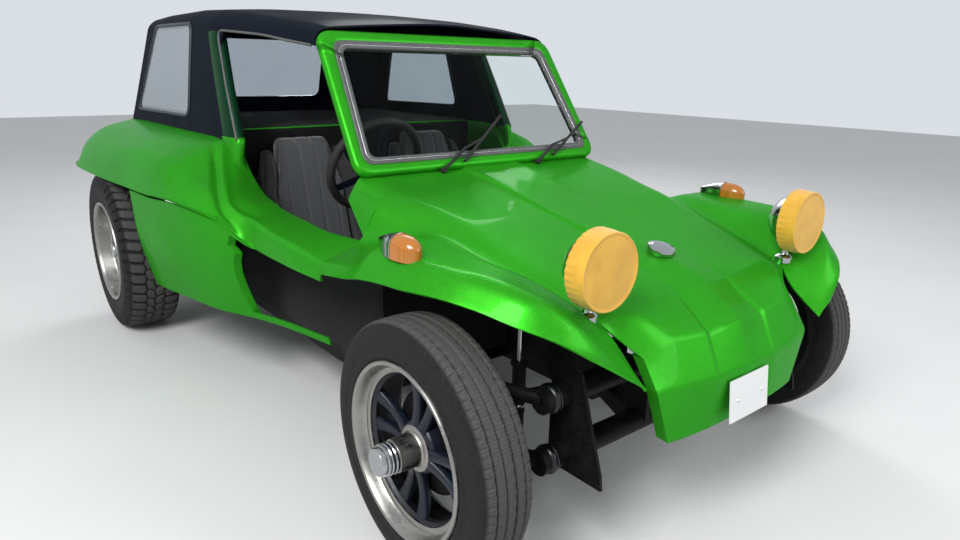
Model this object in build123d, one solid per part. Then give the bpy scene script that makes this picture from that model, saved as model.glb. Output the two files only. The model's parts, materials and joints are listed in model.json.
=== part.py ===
from build123d import *
import os
from math import sin, cos, tan, atan2, radians, degrees, pi, hypot

os.makedirs("parts", exist_ok=True)

# Frame: X forward, Y to the left, Z up, millimetres.
# The origin is on the ground, at the middle of the overall length.

# Axles, tracks and tyres
FRONT_X = 1200
WHEELBASE = 2050
REAR_X = FRONT_X - WHEELBASE
FRONT_TRACK_HALF = 690
REAR_TRACK_HALF = 800
FRONT_TYRE_R = 297
REAR_TYRE_R = 332
FRONT_TYRE_HALF_WIDTH = 66
REAR_TYRE_HALF_WIDTH = 106
RIM_LIP_R = 208
RIM_BARREL_R = 190
RIM_WALL = 7
GRP = 6
CORNER_SHARE = 0.42

# Steering
KINGPIN_Y = 590
KINGPIN_R = 9
PIN_CLEARANCE = 0.05
STEER_WHEEL_AT = (FRONT_X - 895, -270, 785)
STEER_WHEEL_R = 163
STEER_GRIP_R = 15
COLUMN_TILT = 25

# Front suspension beam, two tubes ahead of the axle
BEAM_X = FRONT_X + 165
BEAM_UPPER_Z = 410
BEAM_LOWER_Z = 258
BEAM_TUBE_R = 29
BEAM_HALF = 470
TOWER_Y = 420
DAMPER_X = FRONT_X + 50
DAMPER_TOP = 562

# Platform
TUNNEL_HALF = 62
TUNNEL_BOTTOM = 190
TUNNEL_TOP = 345
FLOOR_HALF = 520
FLOOR_FRONT_X = FRONT_X - 440
FLOOR_REAR_X = FRONT_X - 1560
FLOOR_T = 4
TORSION_X = FRONT_X - 1690
TORSION_Z = 330

# Windscreen plane, from the bottom of the glass to the top of its frame
SCREEN_FOOT_X = FRONT_X - 622
SCREEN_FOOT_Z = 812
SCREEN_TILT = 34
SCREEN_DEPTH = 26


def write(name, *solids):
    """Write one node to its own STEP file."""
    export_step(Compound(children=[s for s in solids]), f"parts/{name}.step")


def rod(a, b, r):
    """Round bar of radius r from point a to point b."""
    a, b = Vector(*a), Vector(*b)
    axis = b - a
    plane = Plane(origin=a, z_dir=axis)
    return plane * Cylinder(r, axis.length, align=(Align.CENTER, Align.CENTER, Align.MIN))


def box(x, y, z):
    """Box between two bounds on each axis, each given as a pair."""
    size = [abs(p[1] - p[0]) for p in (x, y, z)]
    mid = [(p[0] + p[1]) / 2 for p in (x, y, z)]
    return Pos(*mid) * Box(*size)


def bent_tube(points, bends, r):
    """Round tube of radius r along straight runs joined by tangent arcs."""
    path = FilletPolyline(*[Vector(*p) for p in points], radius=bends)
    start = Plane(origin=path @ 0, z_dir=path % 0)
    return sweep(start * Circle(r), path=path)


def seated(piece, base):
    """A piece trimmed to the base that it stands on, keeping the part above."""
    return (piece - base).solids().sort_by(SortBy.VOLUME)[-1]


def both(make):
    """The same piece on the right and on the left."""
    return [make(-1), make(1)]


def turned(profile, x, y, z, side=1):
    """Ring or disc about a line along Y, from a profile of (radius, offset) points."""
    pts = [(r, o * side) for r, o in profile]
    plane = Plane(origin=(x, y, z), x_dir=(0, 0, 1), z_dir=(-1, 0, 0))
    face = plane * make_face(Polyline(*pts, close=True))
    return revolve(face, axis=Axis((x, y, z), (0, 1, 0)), revolution_arc=360)


def turned_forward(profile, x, y, z):
    """Solid turned about a line along X, from a profile of (offset, radius) points."""
    plane = Plane(origin=(x, y, z), x_dir=(1, 0, 0), z_dir=(0, -1, 0))
    face = plane * make_face(Polyline(*profile, close=True))
    return revolve(face, axis=Axis((x, y, z), (1, 0, 0)), revolution_arc=360)


def slab(points, plane, depth):
    """Flat plate from an outline on a plane, carried along the plane's normal."""
    return extrude(plane * make_face(Polyline(*points, close=True)), amount=depth)


def offset_line(points, t):
    """The same open outline moved t towards its right-hand side, with mitred corners."""
    out = []
    for i, p in enumerate(points):
        dirs = []
        if i > 0:
            dirs.append((points[i][0] - points[i - 1][0], points[i][1] - points[i - 1][1]))
        if i < len(points) - 1:
            dirs.append((points[i + 1][0] - points[i][0], points[i + 1][1] - points[i][1]))
        normals = [(d[1] / hypot(*d), -d[0] / hypot(*d)) for d in dirs]
        n = (sum(v[0] for v in normals), sum(v[1] for v in normals))
        size = hypot(*n)
        n = (n[0] / size, n[1] / size)
        k = n[0] * normals[0][0] + n[1] * normals[0][1]
        out.append((p[0] + n[0] * t / k, p[1] + n[1] * t / k))
    return out


def pairs(values):
    """A flat row of numbers as (y, z) points."""
    return list(zip(values[0::2], values[1::2]))


def soft_line(points):
    """Open outline with arcs at its corners, each sized by the shorter run beside it."""
    radii = []
    for a, b, c in zip(points, points[1:], points[2:]):
        before = Vector(b[0] - a[0], b[1] - a[1])
        after = Vector(c[0] - b[0], c[1] - b[1])
        turn = radians(before.get_angle(after))
        radii.append(CORNER_SHARE * min(before.length, after.length) / tan(turn / 2))
    return FilletPolyline(*points, radius=radii)


def soft_band(plane, points, t):
    """Closed face between an open outline with soft corners and its copy t away."""
    outer = soft_line(points)
    inner = soft_line(offset_line(points, t))
    ends = [Line(outer @ 0, inner @ 0), Line(outer @ 1, inner @ 1)]
    return plane * make_face(outer.edges() + inner.edges() + ends)


def air_face(plane, points, level):
    """Closed face between an open outline with soft corners and a level line."""
    line = soft_line(points)
    rest = Polyline(line @ 1, (points[-1][0], level), (points[0][0], level), line @ 0)
    return plane * make_face(line.edges() + rest.edges())


def cross_plane(x):
    """Plane across the car at x, with its own axes along Y and Z."""
    return Plane(origin=(x, 0, 0), x_dir=(0, 1, 0), z_dir=(1, 0, 0))


def skin(stations, t=-GRP):
    """Thin shell through outlines across the car; each station is x and its points."""
    faces = [soft_band(cross_plane(x), points, t) for x, points in stations]
    return loft(faces, ruled=True)


# Front moulding: bonnet, scuttle and wings.
# Columns: distance ahead of the front axle, height on the centre line, then y and z of
# the raised panel's edge, the bonnet's shoulder, the valley beside it, the foot of the
# wing, the wing's crown and the wing's edge.
SCUTTLE = [
    (-640, 808, 118, 806, 474, 799, 500, 760, 520, 715, 538, 688, 546, 672),
    (-480, 776, 112, 774, 452, 773, 518, 738, 540, 700, 550, 670, 556, 653),
]
BONNET = [
    (-480, 776, 112, 774, 452, 773, 518, 738, 562, 648, 686, 606, 692, 572),
    (-310, 739, 104, 736, 422, 742, 490, 700, 545, 676, 678, 636, 709, 600),
    (-235, 722, 101, 719, 410, 728, 472, 692, 535, 704, 666, 703, 717, 614),
    (-90, 688, 92, 686, 396, 684, 454, 664, 528, 698, 662, 703, 717, 632),
    (60, 656, 90, 650, 368, 645, 426, 626, 502, 694, 638, 706, 690, 646),
    (135, 636, 100, 627, 350, 626, 410, 604, 462, 662, 610, 702, 663, 641),
    (210, 604, 112, 600, 330, 606, 388, 582, 426, 618, 584, 692, 628, 626),
]
# Columns: distance ahead, height on the centre line, panel's edge, shoulder, valley.
NOSE_TOP = [
    (210, 604, 112, 600, 330, 606, 388, 582),
    (250, 576, 112, 574, 305, 590, 350, 545),
    (306, 534, 112, 532, 260, 540, 318, 500),
    (360, 500, 112, 498, 235, 490, 300, 460),
]
# Columns: distance ahead, inner edge, foot of the wing, crown, outer edge.
WING_TIP = [
    (210, 388, 582, 426, 618, 584, 692, 628, 626),
    (270, 368, 532, 396, 553, 530, 630, 582, 606),
    (330, 372, 484, 392, 503, 452, 537, 500, 560),
    (348, 372, 472, 384, 485, 404, 499, 425, 512),
]


def full_width(row):
    """Outline from the left edge to the right edge, from a row with its centre height."""
    half = pairs(row[2:])
    return [(y, z) for y, z in reversed(half)] + [(0, row[1])] + [(-y, z) for y, z in half]


scuttle_skin = skin([(FRONT_X + row[0], full_width(row)) for row in SCUTTLE])
bonnet_skin = skin([(FRONT_X + row[0], full_width(row)) for row in BONNET])
nose_top = skin([(FRONT_X + row[0], full_width(row)) for row in NOSE_TOP])
nose_top_air = loft(
    [
        air_face(cross_plane(FRONT_X + row[0]), full_width(row), 900)
        for row in NOSE_TOP
    ],
    ruled=True,
)


def wing_tip(side):
    stations = []
    for row in WING_TIP:
        points = [(side * y, z) for y, z in pairs(row[1:])]
        stations.append((FRONT_X + row[0], points))
    return skin(stations, side * GRP)


# Nose: level outlines from above the top crease to the valance's lower edge.
# Columns: z, half width, x at the corner and x at the middle, both ahead of the axle.
NOSE = [(545, 255, 303, 310), (431, 321, 337, 360), (312, 268, 348, 368)]
NOSE_RETURN = 30
NOSE_AIR_X = FRONT_X + 500


def nose_outline(half, corner, middle, inset):
    """Level outline of the nose with its side returns, inset from the outer face."""
    y = half - inset
    x = FRONT_X + corner - inset
    back = FRONT_X + corner - NOSE_RETURN
    arc = ThreePointArc((x, -y), (FRONT_X + middle - inset, 0), (x, y))
    return [Line((back, -y), (x, -y)), arc, Line((x, y), (back, y))]


def nose_face(z, half, corner, middle):
    outer = nose_outline(half, corner, middle, 0)
    inner = nose_outline(half, corner, middle, GRP)
    ends = [Line(outer[0] @ 0, inner[0] @ 0), Line(outer[2] @ 1, inner[2] @ 1)]
    return Pos(0, 0, z) * make_face(outer + inner + ends)


def nose_air_face(z, half, corner, middle):
    outer = nose_outline(half, corner, middle, 0)[1]
    far = Polyline(outer @ 0, (NOSE_AIR_X, -half), (NOSE_AIR_X, half), outer @ 1)
    return Pos(0, 0, z) * make_face([outer] + far.edges())


nose = loft([nose_face(*row) for row in NOSE], ruled=True) - nose_top_air
nose_top = nose_top - loft([nose_air_face(*row) for row in NOSE], ruled=True)

# Windscreen surround on its sloping plane
screen_plane = Plane(
    origin=(SCREEN_FOOT_X, 0, SCREEN_FOOT_Z),
    x_dir=(0, 1, 0),
    z_dir=(cos(radians(SCREEN_TILT)), 0, sin(radians(SCREEN_TILT))),
)
# Columns: half width at the foot, half width at the top, foot, top, corner radius
SCREEN_OUTER = (500, 478, -18, 474, 44)
SCREEN_OPENING = (465, 433, 17, 433, 30)
GLASS_EDGE = (438, 408, 39, 409, 22)


def screen_outline(row, grow=0):
    low, high, foot, top, corner = row
    pts = [
        (-low - grow, foot - grow),
        (low + grow, foot - grow),
        (high + grow, top + grow),
        (-high - grow, top + grow),
    ]
    face = make_face(Polyline(*pts, close=True))
    return fillet(face.vertices(), corner)


surround_face = screen_outline(SCREEN_OUTER) - screen_outline(SCREEN_OPENING)
surround = extrude(screen_plane * surround_face, amount=SCREEN_DEPTH / 2, both=True)
CAP_X = 80
CAP_SLOPE = 15
cap_plane = Plane(
    origin=(FRONT_X + CAP_X, 0, 651),
    z_dir=(sin(radians(CAP_SLOPE)), 0, cos(radians(CAP_SLOPE))),
)
front_moulding = bonnet_skin + scuttle_skin + nose_top + nose + surround
for tip in both(wing_tip):
    front_moulding = front_moulding + tip
write("front_moulding", front_moulding)

SEAL_CLEARANCE = 0.5
seal_face = screen_outline(SCREEN_OPENING, -SEAL_CLEARANCE) - screen_outline(GLASS_EDGE)
write("windscreen_seal", extrude(screen_plane * seal_face, amount=9, both=True))
glass_face = screen_outline(GLASS_EDGE, -SEAL_CLEARANCE)
write("windscreen_glass", extrude(screen_plane * glass_face, amount=2.5, both=True))

# Rear tub: side rails, rear wings and the deck between them.
# Columns: distance behind the front axle, then y and z of the inner edge, the bead beside
# it, the crest, the waist and the lip.
TUB = [
    (483, 562, 648, 640, 620, 686, 604, 690, 580, 692, 556),
    (664, 580, 645, 650, 634, 698, 624, 703, 592, 704, 557),
    (800, 580, 651, 650, 640, 700, 628, 705, 594, 704, 556),
    (880, 580, 654, 650, 644, 700, 636, 707, 600, 704, 558),
    (950, 580, 659, 648, 652, 698, 644, 722, 628, 742, 606),
    (1000, 580, 668, 646, 671, 696, 664, 746, 652, 784, 638),
    (1085, 580, 684, 640, 700, 692, 706, 764, 704, 832, 666),
    (1213, 580, 756, 628, 768, 690, 766, 806, 742, 864, 678),
    (1310, 580, 862, 632, 850, 705, 824, 824, 776, 872, 674),
    (1400, 592, 866, 645, 856, 730, 832, 838, 784, 878, 668),
    (1640, 596, 864, 652, 858, 758, 834, 852, 786, 884, 660),
    (2050, 596, 864, 660, 858, 770, 830, 868, 768, 898, 648),
    (2300, 596, 862, 660, 854, 775, 828, 868, 762, 902, 644),
    (2430, 596, 858, 660, 848, 780, 820, 864, 752, 902, 642),
    (2490, 596, 845, 655, 832, 765, 802, 852, 738, 900, 641),
    (2520, 596, 815, 640, 802, 735, 772, 826, 712, 894, 650),
]
DECK_FRONT = FRONT_X - 1500
DECK_REAR = FRONT_X - 2430
TAIL_X = FRONT_X - 2520
DECK_HALF = 598
DECK_Z = 864
TAIL_LOW = 640


def tub_outline(row, side):
    return [(side * y, z) for y, z in pairs(row[1:])]


def tub_side(side):
    return skin([(FRONT_X - row[0], tub_outline(row, side)) for row in TUB], side * GRP)


def tub_room(side):
    """Everything below the tub's outer face, for trimming what stands on it."""
    faces = [air_face(cross_plane(FRONT_X - row[0]), tub_outline(row, side), 560) for row in TUB[5:]]
    return Pos(0, 0, 1) * loft(faces, ruled=True)


deck_drop_pts = [
    (DECK_FRONT, DECK_Z),
    (DECK_REAR, DECK_Z - 6),
    (DECK_REAR - 60, DECK_Z - 19),
    (TAIL_X, DECK_Z - 49),
    (TAIL_X, DECK_Z - 58),
    (DECK_REAR - 57, DECK_Z - 26),
    (DECK_REAR, DECK_Z - 12),
    (DECK_FRONT, DECK_Z - GRP),
]
deck = slab(deck_drop_pts, Plane.XZ.offset(-DECK_HALF), 2 * DECK_HALF)
tail_panel = box((TAIL_X, TAIL_X + GRP), (-DECK_HALF, DECK_HALF), (TAIL_LOW, DECK_Z - 50))
rear_opening = box((TAIL_X - 5, TAIL_X + 10), (-400, 400), (600, 780))
tub = tub_side(-1) + tub_side(1) + deck + (tail_panel - rear_opening)
for side in (-1, 1):
    closing = [(side * DECK_HALF, DECK_Z - 52)]
    closing = closing + [(side * (y - 4), z - 4) for y, z in pairs(TUB[-1][3:])]
    closing = closing + [(side * DECK_HALF, TAIL_LOW)]
    tub = tub + extrude(cross_plane(TAIL_X) * make_face(Polyline(*closing, close=True)), amount=GRP)
write("rear_tub", tub)

# Side pods: one bulging panel on each side, cut away in front along a curve with an
# inward flange, and a strip running forward along its foot.
# Columns: distance behind the front axle, then y and z of the top, the bulge and the foot.
POD = [
    (670, 640, 556, 612, 430, 575, 283),
    (885, 700, 556, 668, 430, 620, 283),
    (1000, 776, 632, 735, 470, 655, 283),
    (1200, 852, 668, 800, 480, 735, 283),
    (1400, 871, 658, 850, 480, 780, 283),
    (1640, 876, 650, 868, 480, 820, 283),
    (1655, 845, 643, 835, 480, 790, 290),
]
POD_T = 5
POD_FLANGE = 25
STRIP_TOP = 307


def pod_loft(side, t):
    faces = []
    for row in POD:
        points = [(side * y, z) for y, z in pairs(row[1:])]
        faces.append(soft_band(cross_plane(FRONT_X - row[0]), points, side * t))
    return loft(faces, ruled=True)


def pod_opening(side, grow=0):
    """Space in front of the panel's curved edge and above its strip."""
    edge = ThreePointArc(
        (FRONT_X - 970 - grow, 541 + grow),
        (FRONT_X - 1010 - grow, 455),
        (FRONT_X - 1030 - grow, STRIP_TOP - grow),
    )
    rest = Polyline(
        edge @ 1,
        (FRONT_X - 500, STRIP_TOP - grow),
        (FRONT_X - 500, 700),
        (FRONT_X - 885 - grow, 700),
        (FRONT_X - 885 - grow, 545 + grow),
        edge @ 0,
    )
    face = make_face([edge] + rest.edges())
    return extrude(Plane.XZ * face, amount=-side * 1000)


def pod(side):
    panel = pod_loft(side, POD_T)
    flange_room = pod_opening(side, POD_T) - pod_opening(side)
    keep = box((FRONT_X - 1060, FRONT_X - 960), (-1000, 1000), (STRIP_TOP - POD_T, 560))
    flange = pod_loft(side, POD_FLANGE) & flange_room & keep
    return (panel - pod_opening(side)) + flange


write("side_pods", *both(pod))

# Hardtop: roof, quarter panels and leaning back in one skin, with door openings and
# windows cut.
# Columns: distance behind the front axle, height on the centre line, then y and z of the
# roof's flat, its shoulder, the top of its side and the foot of the side.
HARDTOP = [
    (880, 1249, 300, 1230, 432, 1219, 470, 1200, 545, 840),
    (1000, 1264, 320, 1248, 470, 1236, 512, 1214, 590, 800),
    (1150, 1282, 350, 1268, 510, 1256, 548, 1230, 628, 700),
    (1310, 1296, 380, 1286, 535, 1275, 570, 1248, 642, 780),
    (1430, 1305, 395, 1296, 546, 1285, 580, 1256, 647, 820),
    (1640, 1312, 400, 1304, 552, 1292, 585, 1262, 653, 840),
    (2050, 1309, 400, 1302, 550, 1290, 583, 1260, 657, 840),
    (2410, 1296, 400, 1290, 545, 1278, 578, 1250, 661, 830),
]
BACK_FOOT = (FRONT_X - 2405, 850)
BACK_TOP = (FRONT_X - 2262, 1292)
BACK_LEAN = atan2(BACK_TOP[0] - BACK_FOOT[0], BACK_TOP[1] - BACK_FOOT[1])
BACK_WINDOW = (520, 285, 32)
BACK_WINDOW_UP = 245
back_plane = Plane(
    origin=(BACK_FOOT[0], 0, BACK_FOOT[1]),
    x_dir=(0, 1, 0),
    z_dir=(cos(BACK_LEAN), 0, -sin(BACK_LEAN)),
)

hardtop_stations = [(FRONT_X - row[0], full_width(row)) for row in HARDTOP]
shell = skin(hardtop_stations)
core = loft([air_face(cross_plane(x), points, 600) for x, points in hardtop_stations], ruled=True)
behind = back_plane * Box(1600, 1600, 500, align=(Align.CENTER, Align.CENTER, Align.MAX))
back_sheet = back_plane * Box(1600, 1600, GRP, align=(Align.CENTER, Align.CENTER, Align.MIN))
back_window = back_plane * Pos(0, BACK_WINDOW_UP, 0) * RectangleRounded(*BACK_WINDOW)
back = (core & back_sheet) - extrude(back_window, amount=20, both=True)


def door_opening():
    """Space over the sill, from the screen to the pillar behind the door."""
    outline = FilletPolyline(
        (FRONT_X - 1215, 851),
        (FRONT_X - 1405, 1216),
        (FRONT_X - 1118, 1196),
        (FRONT_X - 860, 1158),
        (FRONT_X - 700, 1140),
        radius=40,
    )
    rest = Polyline(outline @ 1, (FRONT_X - 700, 690), (FRONT_X - 1215, 690), outline @ 0)
    return extrude(Plane.XZ.offset(-1000) * make_face(outline.edges() + rest.edges()), amount=2000)


# Corners of each quarter window: x behind the front axle and z
QUARTER = [(2300, 908), (2130, 1243), (1670, 1240), (1630, 917)]
QUARTER_CORNER = 28
PANE_T = 4


def quarter_cut(side, grow=0):
    mid_x = sum(p[0] for p in QUARTER) / len(QUARTER)
    mid_z = sum(p[1] for p in QUARTER) / len(QUARTER)
    pts = []
    for x, z in QUARTER:
        out_x = grow if x > mid_x else -grow
        out_z = grow if z > mid_z else -grow
        pts.append((FRONT_X - x - out_x, z + out_z))
    face = fillet(make_face(Polyline(*pts, close=True)).vertices(), QUARTER_CORNER)
    return extrude(Plane.XZ.offset(-side * 400) * face, amount=-side * 400)


# Pillar behind each door: a closed column of one depth under the skin
PILLAR_INNER_Y = 500
PILLAR_DEPTH = 28
PILLAR = [(1215, 700), (1215, 851), (1405, 1216), (1560, 1216), (1400, 851), (1400, 700)]


def pillar(side):
    pts = [(FRONT_X - x, z) for x, z in PILLAR]
    column = extrude(
        Plane.XZ.offset(-side * PILLAR_INNER_Y) * make_face(Polyline(*pts, close=True)),
        amount=-side * 300,
    )
    return (column & core) - Pos(0, -side * PILLAR_DEPTH, 0) * core


hardtop = shell + back - behind
for side in (-1, 1):
    hardtop = hardtop - quarter_cut(side) + pillar(side)
hardtop = hardtop - door_opening()
screen_room = extrude(screen_plane * screen_outline(SCREEN_OUTER, 2), amount=SCREEN_DEPTH / 2 + 2, both=True)
hardtop = hardtop - screen_room
for side in (-1, 1):
    hardtop = hardtop - tub_room(side)
deck_room = box((TAIL_X, DECK_FRONT + 400), (-DECK_HALF, DECK_HALF), (600, DECK_Z + 1))
hardtop = hardtop - deck_room
write("hardtop", hardtop.solids().sort_by(SortBy.VOLUME)[-1])


# Quarter windows and the rear window, set just inside the cut edges
def quarter_pane(side):
    sheet = shell - Pos(0, -side * PANE_T, 0) * core
    return sheet & quarter_cut(side, -0.5)


rear_face = back_plane * Pos(0, BACK_WINDOW_UP, 1) * RectangleRounded(BACK_WINDOW[0] - 1, BACK_WINDOW[1] - 1, 31)
rear_pane = extrude(rear_face, amount=PANE_T)
write("hardtop_windows", *both(quarter_pane), rear_pane)

# Platform: floor plates, central tunnel, frame head and rear fork
tunnel = box((TORSION_X + 40, FRONT_X - 60), (-TUNNEL_HALF, TUNNEL_HALF), (TUNNEL_BOTTOM, TUNNEL_TOP))
tunnel = fillet(tunnel.edges().filter_by(Axis.X).group_by(Axis.Z)[-1], 40)
head = slab(
    [(FRONT_X - 60, -TUNNEL_HALF), (BEAM_X - 34, -150), (BEAM_X - 34, 150), (FRONT_X - 60, TUNNEL_HALF)],
    Plane.XY.offset(222),
    48,
)
plates = []
for side in (-1, 1):
    y = sorted((side * TUNNEL_HALF, side * FLOOR_HALF))
    plates.append(box((FLOOR_REAR_X, FLOOR_FRONT_X), y, (200, 200 + FLOOR_T)))
    rim = sorted((side * FLOOR_HALF, side * (FLOOR_HALF - 4)))
    plates.append(box((FLOOR_REAR_X, FLOOR_FRONT_X), rim, (200, 238)))
platform = tunnel + head
for p in plates:
    platform = platform + p
for side in (-1, 1):
    knee = (REAR_X, side * 190, 268)
    fork = rod((TORSION_X - 30, side * 130, 300), knee, 24) + Pos(*knee) * Sphere(24)
    platform = platform + fork + rod(knee, (REAR_X - 190, side * 215, 290), 24)
torsion = rod((TORSION_X, -455, TORSION_Z), (TORSION_X, 455, TORSION_Z), 55)
write("floor_pan", platform + torsion)

# Front beam: two tubes with shock towers and a web
tubes = [rod((BEAM_X, -BEAM_HALF, z), (BEAM_X, BEAM_HALF, z), BEAM_TUBE_R) for z in (BEAM_UPPER_Z, BEAM_LOWER_Z)]
beam = tubes[0] + tubes[1]
for side in (-1, 1):
    tower = slab(
        [
            (BEAM_X + 122, BEAM_LOWER_Z - 40),
            (BEAM_X + 117, BEAM_LOWER_Z - 4),
            (BEAM_X + 47, BEAM_UPPER_Z + 58),
            (BEAM_X + 10, BEAM_UPPER_Z + 90),
            (DAMPER_X + 14, BEAM_UPPER_Z + 168),
            (DAMPER_X - 16, BEAM_UPPER_Z + 162),
            (DAMPER_X - 10, BEAM_UPPER_Z + 110),
            (BEAM_X - 42, BEAM_UPPER_Z + 20),
            (BEAM_X - 42, BEAM_LOWER_Z - 40),
        ],
        Plane.XZ.offset(-(side * TOWER_Y + 4)),
        8,
    )
    beam = beam + tower
    beam = beam + rod((DAMPER_X, side * TOWER_Y, DAMPER_TOP), (DAMPER_X, side * (TOWER_Y + 58), DAMPER_TOP), 8)
    beam = beam + box((BEAM_X - 30, BEAM_X + 30), sorted((side * 140, side * 156)), (BEAM_LOWER_Z, BEAM_UPPER_Z))
write("front_beam", beam)

# Trailing arms with the upright that carries the kingpin, two on each side
ARM_R = 17


def front_arms(side):
    y_out = side * (KINGPIN_Y - 40)
    solid = None
    for z in (BEAM_UPPER_Z, BEAM_LOWER_Z):
        boss = rod((BEAM_X, side * BEAM_HALF, z), (BEAM_X, side * (BEAM_HALF + 30), z), 30)
        arm = rod((BEAM_X, side * (BEAM_HALF + 13), z), (FRONT_X, y_out, z), ARM_R)
        link = rod((FRONT_X, y_out - side * 14, z), (FRONT_X, side * (KINGPIN_Y - 4), z), 13)
        piece = boss + arm + link
        solid = piece if solid is None else solid + piece
    upright = rod((FRONT_X, side * KINGPIN_Y, 250), (FRONT_X, side * KINGPIN_Y, 420), 20)
    pin = rod((FRONT_X, side * KINGPIN_Y, 206), (FRONT_X, side * KINGPIN_Y, 462), KINGPIN_R)
    return solid + upright + pin - tubes[0] - tubes[1]


arms = both(front_arms)
write("front_arms", *arms)

# Dampers, front and rear
def front_damper(side):
    y = side * (TOWER_Y + 38)
    shoulder = 340
    tube = rod((DAMPER_X, y, 236), (DAMPER_X, y, shoulder), 15)
    collar = rod((DAMPER_X, y, shoulder), (DAMPER_X, y, shoulder + 5), 17)
    shaft = rod((DAMPER_X, y, shoulder), (DAMPER_X, y, DAMPER_TOP), 5)
    stud = rod((DAMPER_X, y, BEAM_LOWER_Z), (DAMPER_X, side * (KINGPIN_Y - 72), BEAM_LOWER_Z), 7)
    return tube + collar + shaft + stud - arms[0] - arms[1] - beam


def rear_damper(side):
    y = side * 500
    foot = (REAR_X - 75, y + side * 12, 300)
    mid = (REAR_X - 68, y + side * 12, 470)
    top = (REAR_X - 60, y + side * 12, 600)
    return rod(foot, mid, 25) + rod(mid, top, 30)


write("dampers", *both(front_damper), *both(rear_damper))

# Rear axle: swing tubes, bearing flanges and spring plates
def rear_axle_side(side):
    tube = rod((REAR_X, side * 140.5, REAR_TYRE_R), (REAR_X, side * 710, REAR_TYRE_R), 30)
    flange = rod((REAR_X, side * 700, REAR_TYRE_R), (REAR_X, side * 744, REAR_TYRE_R), 58)
    stub = rod((REAR_X, side * 740, REAR_TYRE_R), (REAR_X, side * 805, REAR_TYRE_R), 16)
    plate = slab(
        [
            (TORSION_X + 55, TORSION_Z - 40),
            (TORSION_X + 55, TORSION_Z + 40),
            (REAR_X, REAR_TYRE_R + 55),
            (REAR_X - 100, REAR_TYRE_R),
            (REAR_X - 100, REAR_TYRE_R - 55),
        ],
        Plane.XZ.offset(-side * 480 - 4),
        8,
    )
    return tube + flange + stub + plate


write("rear_axle", *both(rear_axle_side))

# Gearbox between the fork arms
gearbox = rod((TORSION_X - 60, 0, TORSION_Z), (REAR_X + 90, 0, 334), 85)
gearbox = gearbox + rod((REAR_X + 100, 0, 334), (REAR_X - 120, 0, 334), 120)
gearbox = gearbox + rod((REAR_X, -140, REAR_TYRE_R), (REAR_X, 140, REAR_TYRE_R), 95)
bell = Plane(origin=(REAR_X - 110, 0, 350), z_dir=(-1, 0, 0)) * Cone(125, 180, 80, align=(Align.CENTER, Align.CENTER, Align.MIN))
write("gearbox", gearbox + bell)

# Engine: crankcase, four finned cylinders, heads and pulley
ENGINE_X = REAR_X - 190
ENGINE_Z = 365
case = box((ENGINE_X - 390, ENGINE_X), (-110, 110), (ENGINE_Z - 130, ENGINE_Z + 110))
engine = case
for side in (-1, 1):
    for x in (ENGINE_X - 110, ENGINE_X - 270):
        barrel = rod((x, side * 100, ENGINE_Z), (x, side * 250, ENGINE_Z), 48)
        for k in range(8):
            y = side * (125 + k * 15)
            barrel = barrel + box((x - 60, x + 60), sorted((y, y + side * 5)), (ENGINE_Z - 62, ENGINE_Z + 62))
        engine = engine + barrel
    engine = engine + box((ENGINE_X - 345, ENGINE_X - 35), sorted((side * 245, side * 330)), (ENGINE_Z - 70, ENGINE_Z + 70))
    cover = box((ENGINE_X - 330, ENGINE_X - 50), sorted((side * 330, side * 365)), (ENGINE_Z - 80, ENGINE_Z + 20))
    engine = engine + cover
pulley = rod((ENGINE_X - 390, 0, ENGINE_Z), (ENGINE_X - 440, 0, ENGINE_Z), 85)
write("engine", engine + pulley)

# Fan housing over the engine, with its inlet and the dynamo behind it
FAN_X = ENGINE_X - 205
shroud_pts = [
    (-330, ENGINE_Z + 112),
    (-330, ENGINE_Z + 240),
    (-230, ENGINE_Z + 330),
    (-120, ENGINE_Z + 430),
    (120, ENGINE_Z + 430),
    (230, ENGINE_Z + 330),
    (330, ENGINE_Z + 240),
    (330, ENGINE_Z + 112),
]
shroud = extrude(cross_plane(FAN_X) * make_face(Polyline(*shroud_pts, close=True)), amount=150)
fan_inlet = rod((FAN_X + 150, 0, ENGINE_Z + 290), (FAN_X + 80, 0, ENGINE_Z + 290), 95)
shroud = shroud - fan_inlet
dynamo = rod((FAN_X, 0, ENGINE_Z + 290), (FAN_X - 190, 0, ENGINE_Z + 290), 52)
stand = box((FAN_X - 150, FAN_X - 40), (-30, 30), (ENGINE_Z + 110, ENGINE_Z + 245))
write("fan_housing", shroud + dynamo + stand)

# Exhaust: cross silencer and two tail pipes
TAILPIPE_COLLAR_X = -1559
TAILPIPE_END_X = -1600
silencer_x = ENGINE_X - 462
silencer = rod((silencer_x, -300, 225), (silencer_x, 300, 225), 52)
for side in (-1, 1):
    silencer = silencer + bent_tube(
        [(ENGINE_X - 110, side * 290, ENGINE_Z - 70), (ENGINE_X - 110, side * 290, 225), (silencer_x, side * 285, 225)],
        25,
        18,
    )
    silencer = silencer + rod((silencer_x, side * 130, 225), (TAILPIPE_COLLAR_X, side * 130, 225), 22)
    silencer = silencer + rod((silencer_x, side * 130, 225), (TAILPIPE_END_X, side * 130, 225), 17)
write("exhaust", silencer)

# Fuel tank under the bonnet
tank = box((FRONT_X - 300, FRONT_X + 60), (-150, 150), (480, 610))
write("fuel_tank", tank)

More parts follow.
